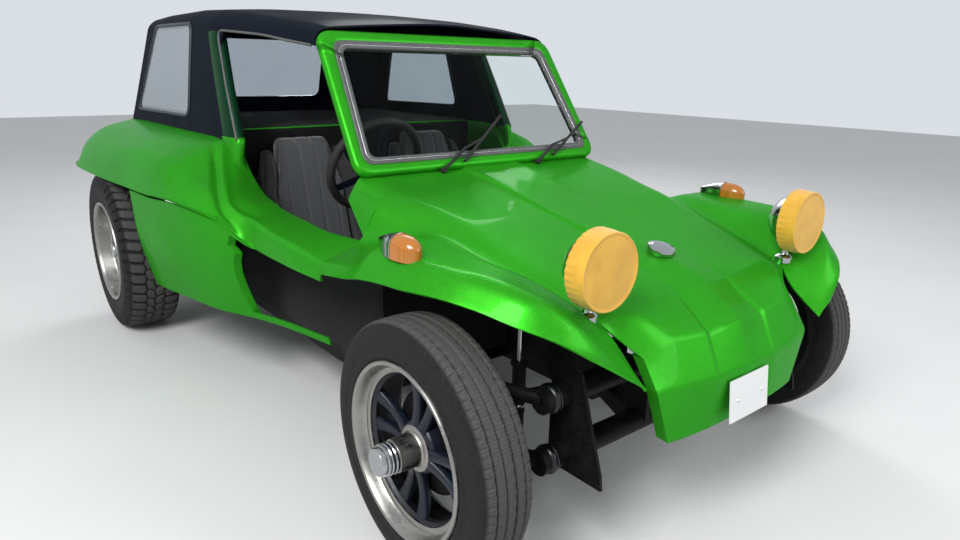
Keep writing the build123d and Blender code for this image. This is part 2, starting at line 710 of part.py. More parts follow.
# Cabin trim: footwell sides, bulkhead behind the seats and cover over the rear axle
trim = box((FRONT_X - 1500, FRONT_X - 1490), (-590, 590), (239, 854))
trim = trim + box((FRONT_X - 1500, FRONT_X - 1490), (-515, 515), (205, 239))
for side in (-1, 1):
    wall = sorted((side * 516, side * 526))
    trim = trim + box((FRONT_X - 1490, FRONT_X - 440), wall, (239, 600))
trim = trim + box((FRONT_X - 450, FRONT_X - 440), (-516, 516), (239, 660))
tunnel_room = box((TORSION_X, FRONT_X), (-TUNNEL_HALF - 0.5, TUNNEL_HALF + 0.5), (TUNNEL_BOTTOM, TUNNEL_TOP + 0.5))

dash = slab(
    [(FRONT_X - 640, 785), (FRONT_X - 700, 760), (FRONT_X - 690, 640), (FRONT_X - 640, 640)],
    Plane.XZ.offset(-470),
    940,
)
# Seats: cushion and high back, each between raised bolsters
SEAT_Y = 285
SEAT_HALF = 208
BOLSTER = 48
RAIL_Y = 150
# Side profiles: distance behind the front axle and z
CUSHION = [(905, 300), (892, 395), (920, 425), (1300, 388), (1340, 300)]
CUSHION_BOLSTER = [(905, 300), (896, 415), (930, 450), (1300, 425), (1340, 300)]
BACKREST = [(1285, 380), (1400, 836), (1418, 850), (1468, 850), (1480, 834), (1385, 300), (1300, 300)]
BACK_BOLSTER = [(1240, 395), (1268, 560), (1350, 730), (1412, 800), (1455, 795), (1400, 395)]
# Front outline of the seat, half of it: y from the middle and z
SEAT_FRONT = [(SEAT_HALF, 290), (SEAT_HALF, 660), (155, 800), (128, 860)]


def seat_slice(profile, low, high):
    """Part of a seat between two places across the car, from its side profile."""
    points = [(FRONT_X - x, z) for x, z in profile]
    return slab(points, Plane.XZ.offset(-high), high - low)


def seat(side):
    middle = side * SEAT_Y
    inner, outer = SEAT_HALF - BOLSTER, SEAT_HALF
    body = seat_slice(CUSHION, middle - outer, middle + outer)
    body = body + seat_slice(BACKREST, middle - outer, middle + outer)
    for low, high in ((-outer, -inner), (inner, outer)):
        for profile in (CUSHION_BOLSTER, BACK_BOLSTER):
            body = body + seat_slice(profile, middle + low, middle + high)
    front = [(middle + y, z) for y, z in SEAT_FRONT] + [(middle - y, z) for y, z in reversed(SEAT_FRONT)]
    body = body & slab(front, cross_plane(FRONT_X - 1500), 700)
    for offset in (-RAIL_Y, RAIL_Y):
        rail_y = (middle + offset - 12, middle + offset + 12)
        body = body + box((FRONT_X - 1330, FRONT_X - 940), rail_y, (200 + FLOOR_T, 301))
    return body


write("seats", *both(seat))

# Steering column, box and track rods; the rods stop short of the steering arms
tilt = radians(COLUMN_TILT)
wheel_at = Vector(*STEER_WHEEL_AT)
column_dir = Vector(cos(tilt), 0, -sin(tilt))
SHAFT_R = 9
JOINT_R = 19
column_top = wheel_at + column_dir * 45
column_end = wheel_at + column_dir * 340
box_at = Vector(BEAM_X - 60, -180, BEAM_UPPER_Z + 36)
column = rod(tuple(column_top), tuple(column_end), 14)
shaft = rod(tuple(wheel_at + column_dir * 6), tuple(column_top + column_dir * 20), SHAFT_R)
column = column + shaft + rod(tuple(column_end - column_dir * 12), tuple(column_end + column_dir * 24), JOINT_R)
column = column + rod(tuple(column_end), tuple(box_at), SHAFT_R)
column = column + rod((box_at.X, box_at.Y, box_at.Z + 10), (box_at.X, box_at.Y, box_at.Z - 70), 28)
clamp = box((box_at.X, BEAM_X), (box_at.Y - 14, box_at.Y + 14), (BEAM_UPPER_Z - 20, BEAM_UPPER_Z + 20))
column = column + (clamp - tubes[0])
TRACK_ROD_Z = 300
drop = rod((FRONT_X + 20, -120, TRACK_ROD_Z), (box_at.X, -150, box_at.Z - 30), 12)
rods = rod((FRONT_X - 112, -535, TRACK_ROD_Z), (FRONT_X + 10, -120, TRACK_ROD_Z), 8)
rods = rods + rod((FRONT_X - 112, 535, TRACK_ROD_Z), (FRONT_X + 10, -120, TRACK_ROD_Z), 8)
steering_gear = column + drop + rods
write("steering_gear", steering_gear)
column_room = rod(tuple(wheel_at), tuple(column_end), 22) + rod(tuple(column_end), tuple(box_at), 20)
write("cabin_trim", trim - tunnel_room - column_room)
write("dashboard", dash - column_room)

# Steering wheel: rim, hub and three spokes on the column's line
wheel_plane = Plane(origin=wheel_at, x_dir=(0, 1, 0), z_dir=-column_dir)
steering = wheel_plane * Torus(STEER_WHEEL_R, STEER_GRIP_R)
steering = steering + wheel_plane * Pos(0, 0, -18) * Cylinder(28, 40)
for angle in (-90, 30, 150):
    a = radians(angle)
    tip = wheel_plane.from_local_coords(Vector(STEER_WHEEL_R * cos(a), STEER_WHEEL_R * sin(a), 0))
    root = wheel_plane.from_local_coords(Vector(15 * cos(a), 15 * sin(a), -20))
    steering = steering + rod(tuple(root), tuple(tip), 7)
shaft_room = rod(tuple(wheel_at + column_dir * 5), tuple(column_end), SHAFT_R + PIN_CLEARANCE)
write("steering_wheel", steering - shaft_room)

# Gear lever, handbrake and pedals
lever = rod((FRONT_X - 900, 0, TUNNEL_TOP + 8), (FRONT_X - 960, 0, 560), 6)
lever = lever + Pos(FRONT_X - 960, 0, 565) * Sphere(19) + rod((FRONT_X - 900, 0, TUNNEL_TOP), (FRONT_X - 900, 0, TUNNEL_TOP + 14), 30)
brake = rod((FRONT_X - 1060, 0, TUNNEL_TOP + 14), (FRONT_X - 1200, 0, 420), 9)
brake = brake + box((FRONT_X - 1090, FRONT_X - 1040), (-16, 16), (TUNNEL_TOP, TUNNEL_TOP + 24))
pedals = None
for y in (-330, -250, -160):
    pad = Pos(FRONT_X - 500, y, 330) * Rot(0, -25, 0) * Box(8, 55, 60)
    arm = rod((FRONT_X - 500, y, 320), (FRONT_X - 458, y, 214), 6)
    pedals = pad + arm if pedals is None else pedals + pad + arm
write("floor_controls", lever + brake, pedals)

# Headlamps on posts, fabric covers over their faces
LAMP_X = FRONT_X + 205
LAMP_Y = 412
LAMP_Z = 712
LAMP_R = 84
# Bowl's profile: distance ahead of the post and radius
BOWL = [(-54, 0), (-48, 28), (-30, 54), (-6, 72), (16, 80), (36, LAMP_R - 2), (36, 0)]


def headlamp(side):
    bowl = turned_forward(BOWL, LAMP_X, side * LAMP_Y, LAMP_Z)
    post = rod((LAMP_X, side * LAMP_Y, 590), (LAMP_X, side * LAMP_Y, LAMP_Z - 50), 9)
    foot = rod((LAMP_X, side * LAMP_Y, 590), (LAMP_X, side * LAMP_Y, 632), 20)
    return seated(bowl + post + foot, front_moulding)


def lamp_cover(side):
    return rod((LAMP_X + 37, side * LAMP_Y, LAMP_Z), (LAMP_X + 62, side * LAMP_Y, LAMP_Z), LAMP_R)


write("headlamps", *both(headlamp))
write("lamp_covers", *both(lamp_cover))

# Indicators on the wings: cases that taper back to a point, rounded lenses in front
IND_X = FRONT_X - 148
IND_Y = 652
IND_Z = 718
IND_FOOT = 26
# Profiles from the tip: distance ahead of the joint between case and lens, and radius
IND_CASE = [(-96, 0), (-72, 12), (-38, 24), (0, 30), (0, 0)]
IND_LENS = [(72, 0), (66, 12), (52, 22), (30, 29), (0.5, 30), (0.5, 0)]


def indicator_half(profile, side):
    """Turned upper part on a foot of the same plan, trimmed to the wing."""
    dome = turned_forward(profile, IND_X, side * IND_Y, IND_Z)
    edge = [(x, r) for x, r in profile if r > 0]
    plan = profile[:1] + edge + [(x, -r) for x, r in reversed(edge)]
    foot = slab(plan, Pos(IND_X, side * IND_Y, IND_Z - IND_FOOT) * Plane.XY, IND_FOOT)
    return seated(dome + foot, front_moulding)


def indicator(side):
    return indicator_half(IND_CASE, side)


def lens(side):
    return indicator_half(IND_LENS, side)


write("indicators", *both(indicator))
write("indicator_lenses", *both(lens))


def rear_lamp(side):
    x = TAIL_X
    return rod((x, side * 760, 720), (x - 40, side * 760, 720), 45)


write("rear_lamps", *both(rear_lamp))

cap = cap_plane * Cylinder(34, 20, align=(Align.CENTER, Align.CENTER, Align.MIN))
write("filler_cap", seated(cap, front_moulding))

plate = Pos(FRONT_X + 374, 0, 363) * Rot(0, -6, 0) * Box(3, 165, 105)
write("number_plate", plate)


# Wipers: on the screen's plane, the pivot, the elbow and the two ends of each blade
WIPERS = [((-207, -27), (-101, 39), (-120, -6), (96, 150)), ((194, -27), (285, 29), (268, -10), (478, 112))]
WIPER_STAND = 26


def wiper(pivot, elbow, low, high):
    at = [screen_plane.from_local_coords(Vector(*p, WIPER_STAND)) for p in (pivot, elbow, low, high)]
    middle = (at[2] + at[3]) / 2
    base = screen_plane.from_local_coords(Vector(*pivot, 6))
    arm = rod(tuple(at[0]), tuple(at[1]), 5) + rod(tuple(at[1]), tuple(middle), 4)
    return arm + rod(tuple(at[2]), tuple(at[3]), 5) + rod(tuple(base), tuple(at[0]), 9)


write("wipers", *[seated(wiper(*row), front_moulding) for row in WIPERS])

# Wheels: each has a tyre, a spoked rim and a hub with its drum and cap
# Columns: name, side, x, half track, tyre radius, tyre half width, offset of the rim's outer
# lip and of the cap's face
WHEELS = [
    ("front_right", -1, FRONT_X, FRONT_TRACK_HALF, FRONT_TYRE_R, FRONT_TYRE_HALF_WIDTH, 70, 128),
    ("front_left", 1, FRONT_X, FRONT_TRACK_HALF, FRONT_TYRE_R, FRONT_TYRE_HALF_WIDTH, 70, 128),
    ("rear_right", -1, REAR_X, REAR_TRACK_HALF, REAR_TYRE_R, REAR_TYRE_HALF_WIDTH, 105, 82),
    ("rear_left", 1, REAR_X, REAR_TRACK_HALF, REAR_TYRE_R, REAR_TYRE_HALF_WIDTH, 105, 82),
]
SPOKES = 4
LUGS = 30
LUG_HEIGHT = 9


def tyre(side, x, y, r, half, lip, lugs):
    tread_r = r - LUG_HEIGHT if lugs else r
    profile = [
        (RIM_BARREL_R, 12 - lip),
        (RIM_LIP_R, 8 - lip),
        (RIM_LIP_R + (r - RIM_LIP_R) * 0.45, -half),
        (tread_r - 16, -half * 0.9),
        (tread_r, -half * 0.72),
        (tread_r, half * 0.72),
        (tread_r - 16, half * 0.9),
        (RIM_LIP_R + (r - RIM_LIP_R) * 0.45, half),
        (RIM_LIP_R, lip - 8),
        (RIM_BARREL_R, lip - 12),
    ]
    solid = turned(profile, x, side * y, r, side)
    if lugs:
        for row, offset, width, turn in ((0, -0.56, 0.44, 0.5), (1, 0, 0.4, 0), (2, 0.56, 0.44, 0.5)):
            for k in range(LUGS):
                angle = 360 * (k + turn) / LUGS
                lug = Pos(0, half * offset, tread_r + LUG_HEIGHT / 2 - 3) * Box(42, half * width, LUG_HEIGHT + 6)
                solid = solid + Pos(x, side * y, r) * Rot(0, angle, 0) * lug
    return solid


def rim(side, x, y, r, lip, dish):
    barrel = turned(
        [
            (RIM_LIP_R, lip),
            (RIM_LIP_R, lip - 8),
            (RIM_BARREL_R, lip - 12),
            (RIM_BARREL_R, -lip + 12),
            (RIM_LIP_R, -lip + 8),
            (RIM_LIP_R, -lip),
            (RIM_BARREL_R - RIM_WALL, -lip),
            (RIM_BARREL_R - RIM_WALL, lip - 16),
            (RIM_LIP_R - RIM_WALL, lip - 6),
            (RIM_LIP_R - RIM_WALL, lip),
        ],
        x, side * y, r, side,
    )
    face = lip - dish
    disc = turned([(0, face - 22), (0, face), (62, face), (62, face - 22)], x, side * y, r, side)
    solid = barrel + disc
    for k in range(SPOKES):
        for half_turn in (-13, 13):
            a = 90 + 360 * k / SPOKES
            spoke = Pos(0, side * (face - 10), 120) * Box(16, 20, 132)
            spoke = Rot(0, a + half_turn, 0) * spoke
            solid = solid + Pos(x, side * y, r) * spoke
    return solid


# Stepped cap: radius, and distance behind the cap's face
CAP_STEPS = [(27, 0), (32, 4), (33, 14), (36, 16), (36, 40), (27, 43), (26, 58)]
CAP_NECK_R = 26


def hub(side, x, y, r, face, reach, depth):
    steps = [(radius, reach - back) for radius, back in CAP_STEPS if reach - back > face]
    cap_profile = [(0, face), (0, reach)] + steps + [(CAP_NECK_R, face)]
    back = face - 22
    drum_profile = [
        (16 + PIN_CLEARANCE, back - depth),
        (16 + PIN_CLEARANCE, back),
        (60, back),
        (125, back - 8),
        (125, back - depth),
    ]
    return turned(cap_profile, x, side * y, r, side), turned(drum_profile, x, side * y, r, side)


for name, side, x, y, r, half, lip, reach in WHEELS:
    is_rear = x < 0
    write(f"{name}_tyre", tyre(side, x, y, r, half, lip, is_rear))
    dish = 75 if is_rear else 40
    write(f"{name}_rim", rim(side, x, y, r, lip, dish))
    cap_solid, drum_solid = hub(side, x, y, r, lip - dish, reach, 60)
    write(f"{name}_hub", cap_solid, drum_solid)

# Steering knuckles: a fork round the upright, the stub axle and the steering arm
def knuckle(side):
    y = side * KINGPIN_Y
    z0 = FRONT_TYRE_R
    solid = None
    for low, high in ((212, 240), (430, 458)):
        ear = rod((FRONT_X, y, low), (FRONT_X, y, high), 20)
        ear = ear + box((FRONT_X - 16, FRONT_X + 16), sorted((y, y + side * 45)), (low, high))
        solid = ear if solid is None else solid + ear
    web = box((FRONT_X - 22, FRONT_X + 22), sorted((y + side * 28, y + side * 46)), (212, 458))
    solid = solid + web
    solid = solid + rod((FRONT_X, y + side * 40, z0), (FRONT_X, y + side * 104, z0), 16)
    arm_end = (FRONT_X - 112, y - side * 30, 262)
    solid = solid + rod((FRONT_X, y + side * 30, 230), arm_end, 9)
    solid = solid + rod((arm_end[0], arm_end[1], 250), (arm_end[0], arm_end[1], 276), 13)
    hole = rod((FRONT_X, y, 150), (FRONT_X, y, 520), KINGPIN_R + PIN_CLEARANCE)
    upright_room = rod((FRONT_X, y, 240), (FRONT_X, y, 430), 26)
    return solid - hole - upright_room


write("knuckle_right", knuckle(-1))
write("knuckle_left", knuckle(1))
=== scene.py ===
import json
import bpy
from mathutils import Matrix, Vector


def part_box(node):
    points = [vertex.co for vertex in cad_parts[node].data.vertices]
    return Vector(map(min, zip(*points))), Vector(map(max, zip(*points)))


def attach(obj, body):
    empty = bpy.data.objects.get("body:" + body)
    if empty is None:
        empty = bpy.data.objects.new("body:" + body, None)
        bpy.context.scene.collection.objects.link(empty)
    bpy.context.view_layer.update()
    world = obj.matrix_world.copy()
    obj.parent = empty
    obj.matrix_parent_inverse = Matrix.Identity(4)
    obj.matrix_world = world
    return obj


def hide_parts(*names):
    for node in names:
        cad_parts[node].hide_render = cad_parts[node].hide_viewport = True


bl_info = {
    "name": "Open Buggy Workshop",
    "version": (1, 0, 0),
    "blender": (4, 5, 0),
    "location": "View3D > Sidebar > Buggy",
    "description": "Dresses a moulded two-seat buggy with body skins, wheels, lamps and trim",
    "category": "Object",
}

from math import cos, pi, radians, sin

import bmesh
import bpy
import numpy as np
from mathutils import Matrix, Vector

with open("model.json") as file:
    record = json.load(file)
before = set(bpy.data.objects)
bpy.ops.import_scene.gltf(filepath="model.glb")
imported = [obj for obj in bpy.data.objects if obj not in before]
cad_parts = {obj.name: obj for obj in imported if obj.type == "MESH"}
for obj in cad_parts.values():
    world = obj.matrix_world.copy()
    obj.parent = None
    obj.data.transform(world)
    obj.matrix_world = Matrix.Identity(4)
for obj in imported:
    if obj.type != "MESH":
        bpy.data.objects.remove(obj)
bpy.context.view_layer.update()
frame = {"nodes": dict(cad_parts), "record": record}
SLOTS = {row["slot"] for row in frame["record"]["materials"]}
MM = 0.001
FRONT_AXLE, REAR_AXLE = 1.2, -0.85
FRONT_RADIUS, REAR_RADIUS = 0.297, 0.332
SIDES = (("right", -1), ("left", 1))


# ---------------------------------------------------------------- shader graphs


class Wire:
    """One shader socket. Arithmetic on it adds Math nodes and gives a new Wire."""

    def __init__(self, graph, socket):
        self.graph = graph
        self.socket = socket

    def math(self, operation, *others):
        return self.graph.put("Math", {"operation": operation}, {0: self, **dict(enumerate(others, 1))})

    def __add__(self, other):
        return self.math("ADD", other)

    __radd__ = __add__

    def __sub__(self, other):
        return self.math("SUBTRACT", other)

    def __rsub__(self, other):
        return self.graph.put("Math", {"operation": "SUBTRACT"}, {0: other, 1: self})

    def __mul__(self, other):
        return self.math("MULTIPLY", other)

    __rmul__ = __mul__


class Graph:
    """A new material with one Principled shader and the nodes that feed it."""

    def __init__(self, name):
        self.material = bpy.data.materials.new(name)
        self.material.use_nodes = True
        self.nodes = self.material.node_tree.nodes
        self.nodes.clear()
        self.output = self.nodes.new("ShaderNodeOutputMaterial")
        self._place = None

    def put(self, kind, settings=None, inputs=None, out=0):
        """Add a node: its settings first, then the value or link of each socket."""
        node = self.nodes.new("ShaderNode" + kind)
        for key, value in (settings or {}).items():
            setattr(node, key, value)
        for key, value in (inputs or {}).items():
            if isinstance(value, Wire):
                self.material.node_tree.links.new(value.socket, node.inputs[key])
            else:
                node.inputs[key].default_value = value
        return Wire(self, node.outputs[out])

    def place(self):
        """Object coordinates, shared by every pattern of the material."""
        if self._place is None:
            self._place = self.put("TexCoord", out="Object")
        return self._place

    def axes(self, source=None):
        """The three parts of a position as separate numbers."""
        split = self.put("SeparateXYZ", None, {0: source or self.place()})
        node = split.socket.node
        return [Wire(self, node.outputs[k]) for k in range(3)]

    def noise(self, scale, detail, rough=0.5):
        inputs = {"Vector": self.place(), "Scale": scale, "Detail": detail, "Roughness": rough}
        return self.put("TexNoise", None, inputs, "Fac")

    def cells(self, scale, out="Distance"):
        return self.put("TexVoronoi", None, {"Vector": self.place(), "Scale": scale}, out)

    def span(self, value, low, high, to_low=0.0, to_high=1.0):
        """The value carried from one range to another, held at the ends."""
        inputs = {0: value, 1: low, 2: high, 3: to_low, 4: to_high}
        return self.put("MapRange", {"clamp": True}, inputs)

    def mix(self, share, first, second):
        """Colour between two colours by a share from 0 to 1."""
        inputs = {0: share}
        for key, value in ((6, first), (7, second)):
            inputs[key] = value if isinstance(value, Wire) else (*value, 1.0)
        return self.put("Mix", {"data_type": "RGBA"}, inputs, 2)

    def bump(self, height, distance, strength, under=None):
        inputs = {"Height": height, "Distance": distance, "Strength": strength}
        if under is not None:
            inputs["Normal"] = under
        return self.put("Bump", None, inputs)

    def skin(self, **sockets):
        """The Principled shader, its sockets named with underscores for spaces."""
        inputs = {}
        for key, value in sockets.items():
            name = key.replace("_", " ")
            if name.endswith("Color") or name in ("Sheen Tint", "Specular Tint"):
                value = value if isinstance(value, Wire) else (*value, 1.0)
            inputs[name] = value
        shader = self.put("BsdfPrincipled", None, inputs)
        self.material.node_tree.links.new(shader.socket, self.output.inputs[0])
        return self.material


# ---------------------------------------------------------------- finishes


def darker(colour, share):
    """The same colour at a share of its strength."""
    return tuple(c * share for c in colour)


def flake_paint(name, colour, deep, bright):
    """Metallic gel coat: flat flake cells that tilt the shine a little, under a thin clear layer."""
    g = Graph(name)
    flake = g.cells(2600.0, out="Color")
    tone = g.axes(flake)[0]
    cloud = g.noise(3.0, 3.0)
    base = g.mix(g.span(tone * 0.55 + cloud * 0.45, 0.25, 0.75), deep, colour)
    base = g.mix(g.span(tone, 0.88, 1.0, 0.0, 0.55), base, bright)
    wave = g.bump(g.noise(9.0, 1.0), 0.0010, 0.2)
    normal = g.bump(tone, 0.00010, 0.5, wave)
    return g.skin(
        Base_Color=base, Metallic=0.5, Roughness=g.span(tone, 0, 1, 0.26, 0.42), Normal=normal,
        Specular_Tint=(0.2, 0.72, 0.25), Specular_IOR_Level=0.06, Coat_Weight=0.12, Coat_Roughness=0.03,
        Coat_IOR=1.4,
    )


def clouded(name, cloud, dark, light, rough, bump, share=None, fine=None, **rest):
    """A finish that one cloud of noise gives: it mixes two colours, its middle carries the
    roughness from one value to another, and it or a finer noise lifts the surface."""
    g = Graph(name)
    cloud = g.noise(*cloud)
    base = g.mix(g.span(cloud, *share) if share else cloud, dark, light)
    roughness = g.span(cloud, 0.3, 0.7, *rough) if isinstance(rough, tuple) else rough
    normal = g.bump(g.noise(*fine) if fine else cloud, *bump)
    return g.skin(Base_Color=base, Roughness=roughness, Normal=normal, **rest)


def black_enamel():
    """Dusty black enamel with a few pale chips."""
    g = Graph("chassis enamel")
    dust = g.noise(26.0, 5.0, 0.6)
    chips = g.span(g.noise(140.0, 2.0), 0.62, 0.7)
    base = g.mix(g.span(dust, 0.45, 0.75, 0.0, 0.22), (0.005, 0.005, 0.006), (0.034, 0.030, 0.026))
    base = g.mix(chips * 0.12, base, (0.08, 0.065, 0.05))
    return g.skin(
        Base_Color=base, Roughness=g.span(dust, 0.3, 0.7, 0.36, 0.6), Normal=g.bump(dust, 0.0006, 0.5),
        Specular_IOR_Level=0.08,
    )


def tyre_rubber(name="tyre rubber", axle=None, radius=0.3):
    """Dark rubber; on a tyre the running face is worn pale and cut with fine cross slits,
    both found from the distance and the angle about the axle at x = axle, z = radius."""
    g = Graph(name)
    dust = g.noise(110.0, 4.0, 0.6)
    fine = g.noise(900.0, 2.0)
    base = g.mix(g.span(dust, 0.4, 0.72), (0.009, 0.009, 0.010), (0.018, 0.0175, 0.017))
    normal = g.bump(fine, 0.0003, 0.5)
    if axle is not None:
        x, _, z = g.axes()
        ahead, above = x - axle, z - radius
        running = g.span((ahead * ahead + above * above).math("SQRT"), radius - 0.011, radius - 0.005)
        base = g.mix(
            running, base, g.mix(g.span(fine, 0.3, 0.7), (0.036, 0.035, 0.034), (0.078, 0.076, 0.073))
        )
        slits = g.span((ahead.math("ARCTAN2", above) * 240.0).math("SINE"), 0.55, 0.95)
        normal = g.bump(slits * running, 0.0010, 0.7, normal)
    return g.skin(
        Base_Color=base, Roughness=g.span(dust, 0.35, 0.7, 0.55, 0.8), Normal=normal, Specular_IOR_Level=0.15
    )


def bright_metal(name, colour, rough, grain=0.0):
    """Plated or polished metal with faint smears, and a turned grain where asked for."""
    g = Graph(name)
    smear = g.noise(30.0, 4.0, 0.6)
    roughness = g.span(smear, 0.35, 0.7, rough * 0.7, rough * 1.5)
    base = g.mix(g.span(smear, 0.4, 0.8, 0.0, 0.25), colour, darker(colour, 0.7))
    normal = g.bump(g.noise(400.0, 2.0), 0.0002, grain)
    return g.skin(Base_Color=base, Metallic=1.0, Roughness=roughness, Normal=normal)


def matt_trim():
    """Grained matt plastic with a little dust."""
    g = Graph("matt trim")
    grain = g.cells(520.0)
    dust = g.noise(20.0, 4.0)
    base = g.mix(dust, (0.010, 0.010, 0.011), (0.026, 0.025, 0.024))
    return g.skin(
        Base_Color=base, Roughness=g.span(dust, 0.3, 0.7, 0.55, 0.72), Normal=g.bump(grain, 0.0003, 0.5),
        Specular_IOR_Level=0.25,
    )


def woven(g, weave, cloud, dark, light, faded, rough, height, sheen):
    """Cloth from a weave between -1 and 1: it mixes two threads and lifts them, and a
    cloud of noise, a scale and a share, fades them."""
    base = g.mix(g.span(weave, -1, 1), dark, light)
    base = g.mix(g.noise(cloud[0], 3.0) * cloud[1], base, faded)
    normal = g.bump(weave, *height)
    return g.skin(Base_Color=base, Roughness=rough, Normal=normal, Sheen_Weight=sheen, Sheen_Roughness=0.4)


def side_cloth():
    """Dark plain cloth of the seats' raised sides: two crossed rows of fine sines."""
    g = Graph("seat side cloth")
    x, y, z = g.axes()
    weave = ((x + y) * 1900.0).math("SINE") * ((z + y) * 1900.0).math("SINE")
    shades = (0.006, 0.006, 0.007), (0.018, 0.018, 0.020), (0.035, 0.035, 0.037)
    return woven(g, weave, (16.0, 0.25), *shades, 0.85, (0.0003, 0.6), 0.3)


def woven_seat():
    """Ribbed cloth: fine rows across the seat, crossed by a twill."""
    g = Graph("seat cloth")
    x, y, z = g.axes()
    weave = (y * 900.0).math("SINE") * ((x + z) * 1100.0).math("SINE")
    shades = (0.020, 0.021, 0.023), (0.060, 0.062, 0.067), (0.085, 0.086, 0.09)
    return woven(g, weave, (12.0, 0.3), *shades, 0.88, (0.0004, 0.7), 0.5)


def cover_cloth():
    """Coated yellow fabric over the lamps: a close plain weave with soft creases."""
    g = Graph("lamp cover cloth")
    _, y, z = g.axes()
    weave = (y * 3300.0).math("SINE") * (z * 3300.0).math("SINE")
    cloud = g.noise(22.0, 4.0)
    base = g.mix(g.span(cloud, 0.3, 0.7), (0.58, 0.30, 0.015), (0.70, 0.39, 0.028))
    base = g.mix(g.span(weave, -1, 1, 0.0, 0.22), base, (0.40, 0.20, 0.007))
    normal = g.bump(weave, 0.00025, 0.6, g.bump(g.noise(34.0, 2.0), 0.0009, 0.4))
    return g.skin(Base_Color=base, Roughness=0.62, Normal=normal, Sheen_Weight=0.25)


def lens(name, colour):
    """Moulded lens with fine upright flutes."""
    g = Graph(name)
    flutes = (g.axes()[1] * 1500.0).math("SINE")
    cloud = g.noise(80.0, 2.0)
    base = g.mix(g.span(flutes, -1, 1), colour, tuple(min(1.0, c * 1.2 + 0.005) for c in colour))
    base = g.mix(cloud * 0.2, base, darker(colour, 0.6))
    return g.skin(
        Base_Color=base, Roughness=0.2, Normal=g.bump(flutes, 0.00012, 0.3), Coat_Weight=0.35,
        Transmission_Weight=0.1, IOR=1.49
    )


def pane(name, scale, first, second, rough, clear, ior, level):
    """Clear sheet under a fine haze of noise, which mixes its two tints and its roughness."""
    g = Graph(name)
    haze = g.noise(scale, 4.0)
    return g.skin(
        Base_Color=g.mix(haze, first, second), Roughness=g.span(haze, *rough), Transmission_Weight=clear,
        IOR=ior,
        Specular_IOR_Level=level,
    )


def plate_white():
    """White sheet with a fine cell grain."""
    g = Graph("plate sheet")
    fine = g.cells(700.0)
    base = g.mix(g.span(fine, 0.0, 0.6), (0.60, 0.61, 0.62), (0.68, 0.68, 0.68))
    return g.skin(Base_Color=base, Roughness=0.4, Normal=g.bump(fine, 0.0002, 0.3), Coat_Weight=0.5)


def cast_alloy():
    """Grey cast metal, stained by oil."""
    g = Graph("cast alloy")
    grain = g.noise(240.0, 4.0)
    oil = g.noise(9.0, 4.0)
    base = g.mix(g.span(oil, 0.42, 0.7), (0.19, 0.19, 0.185), (0.05, 0.045, 0.038))
    return g.skin(
        Base_Color=base, Metallic=0.85, Roughness=g.span(grain, 0.3, 0.7, 0.42, 0.6),
        Normal=g.bump(grain, 0.0008, 0.6)
    )


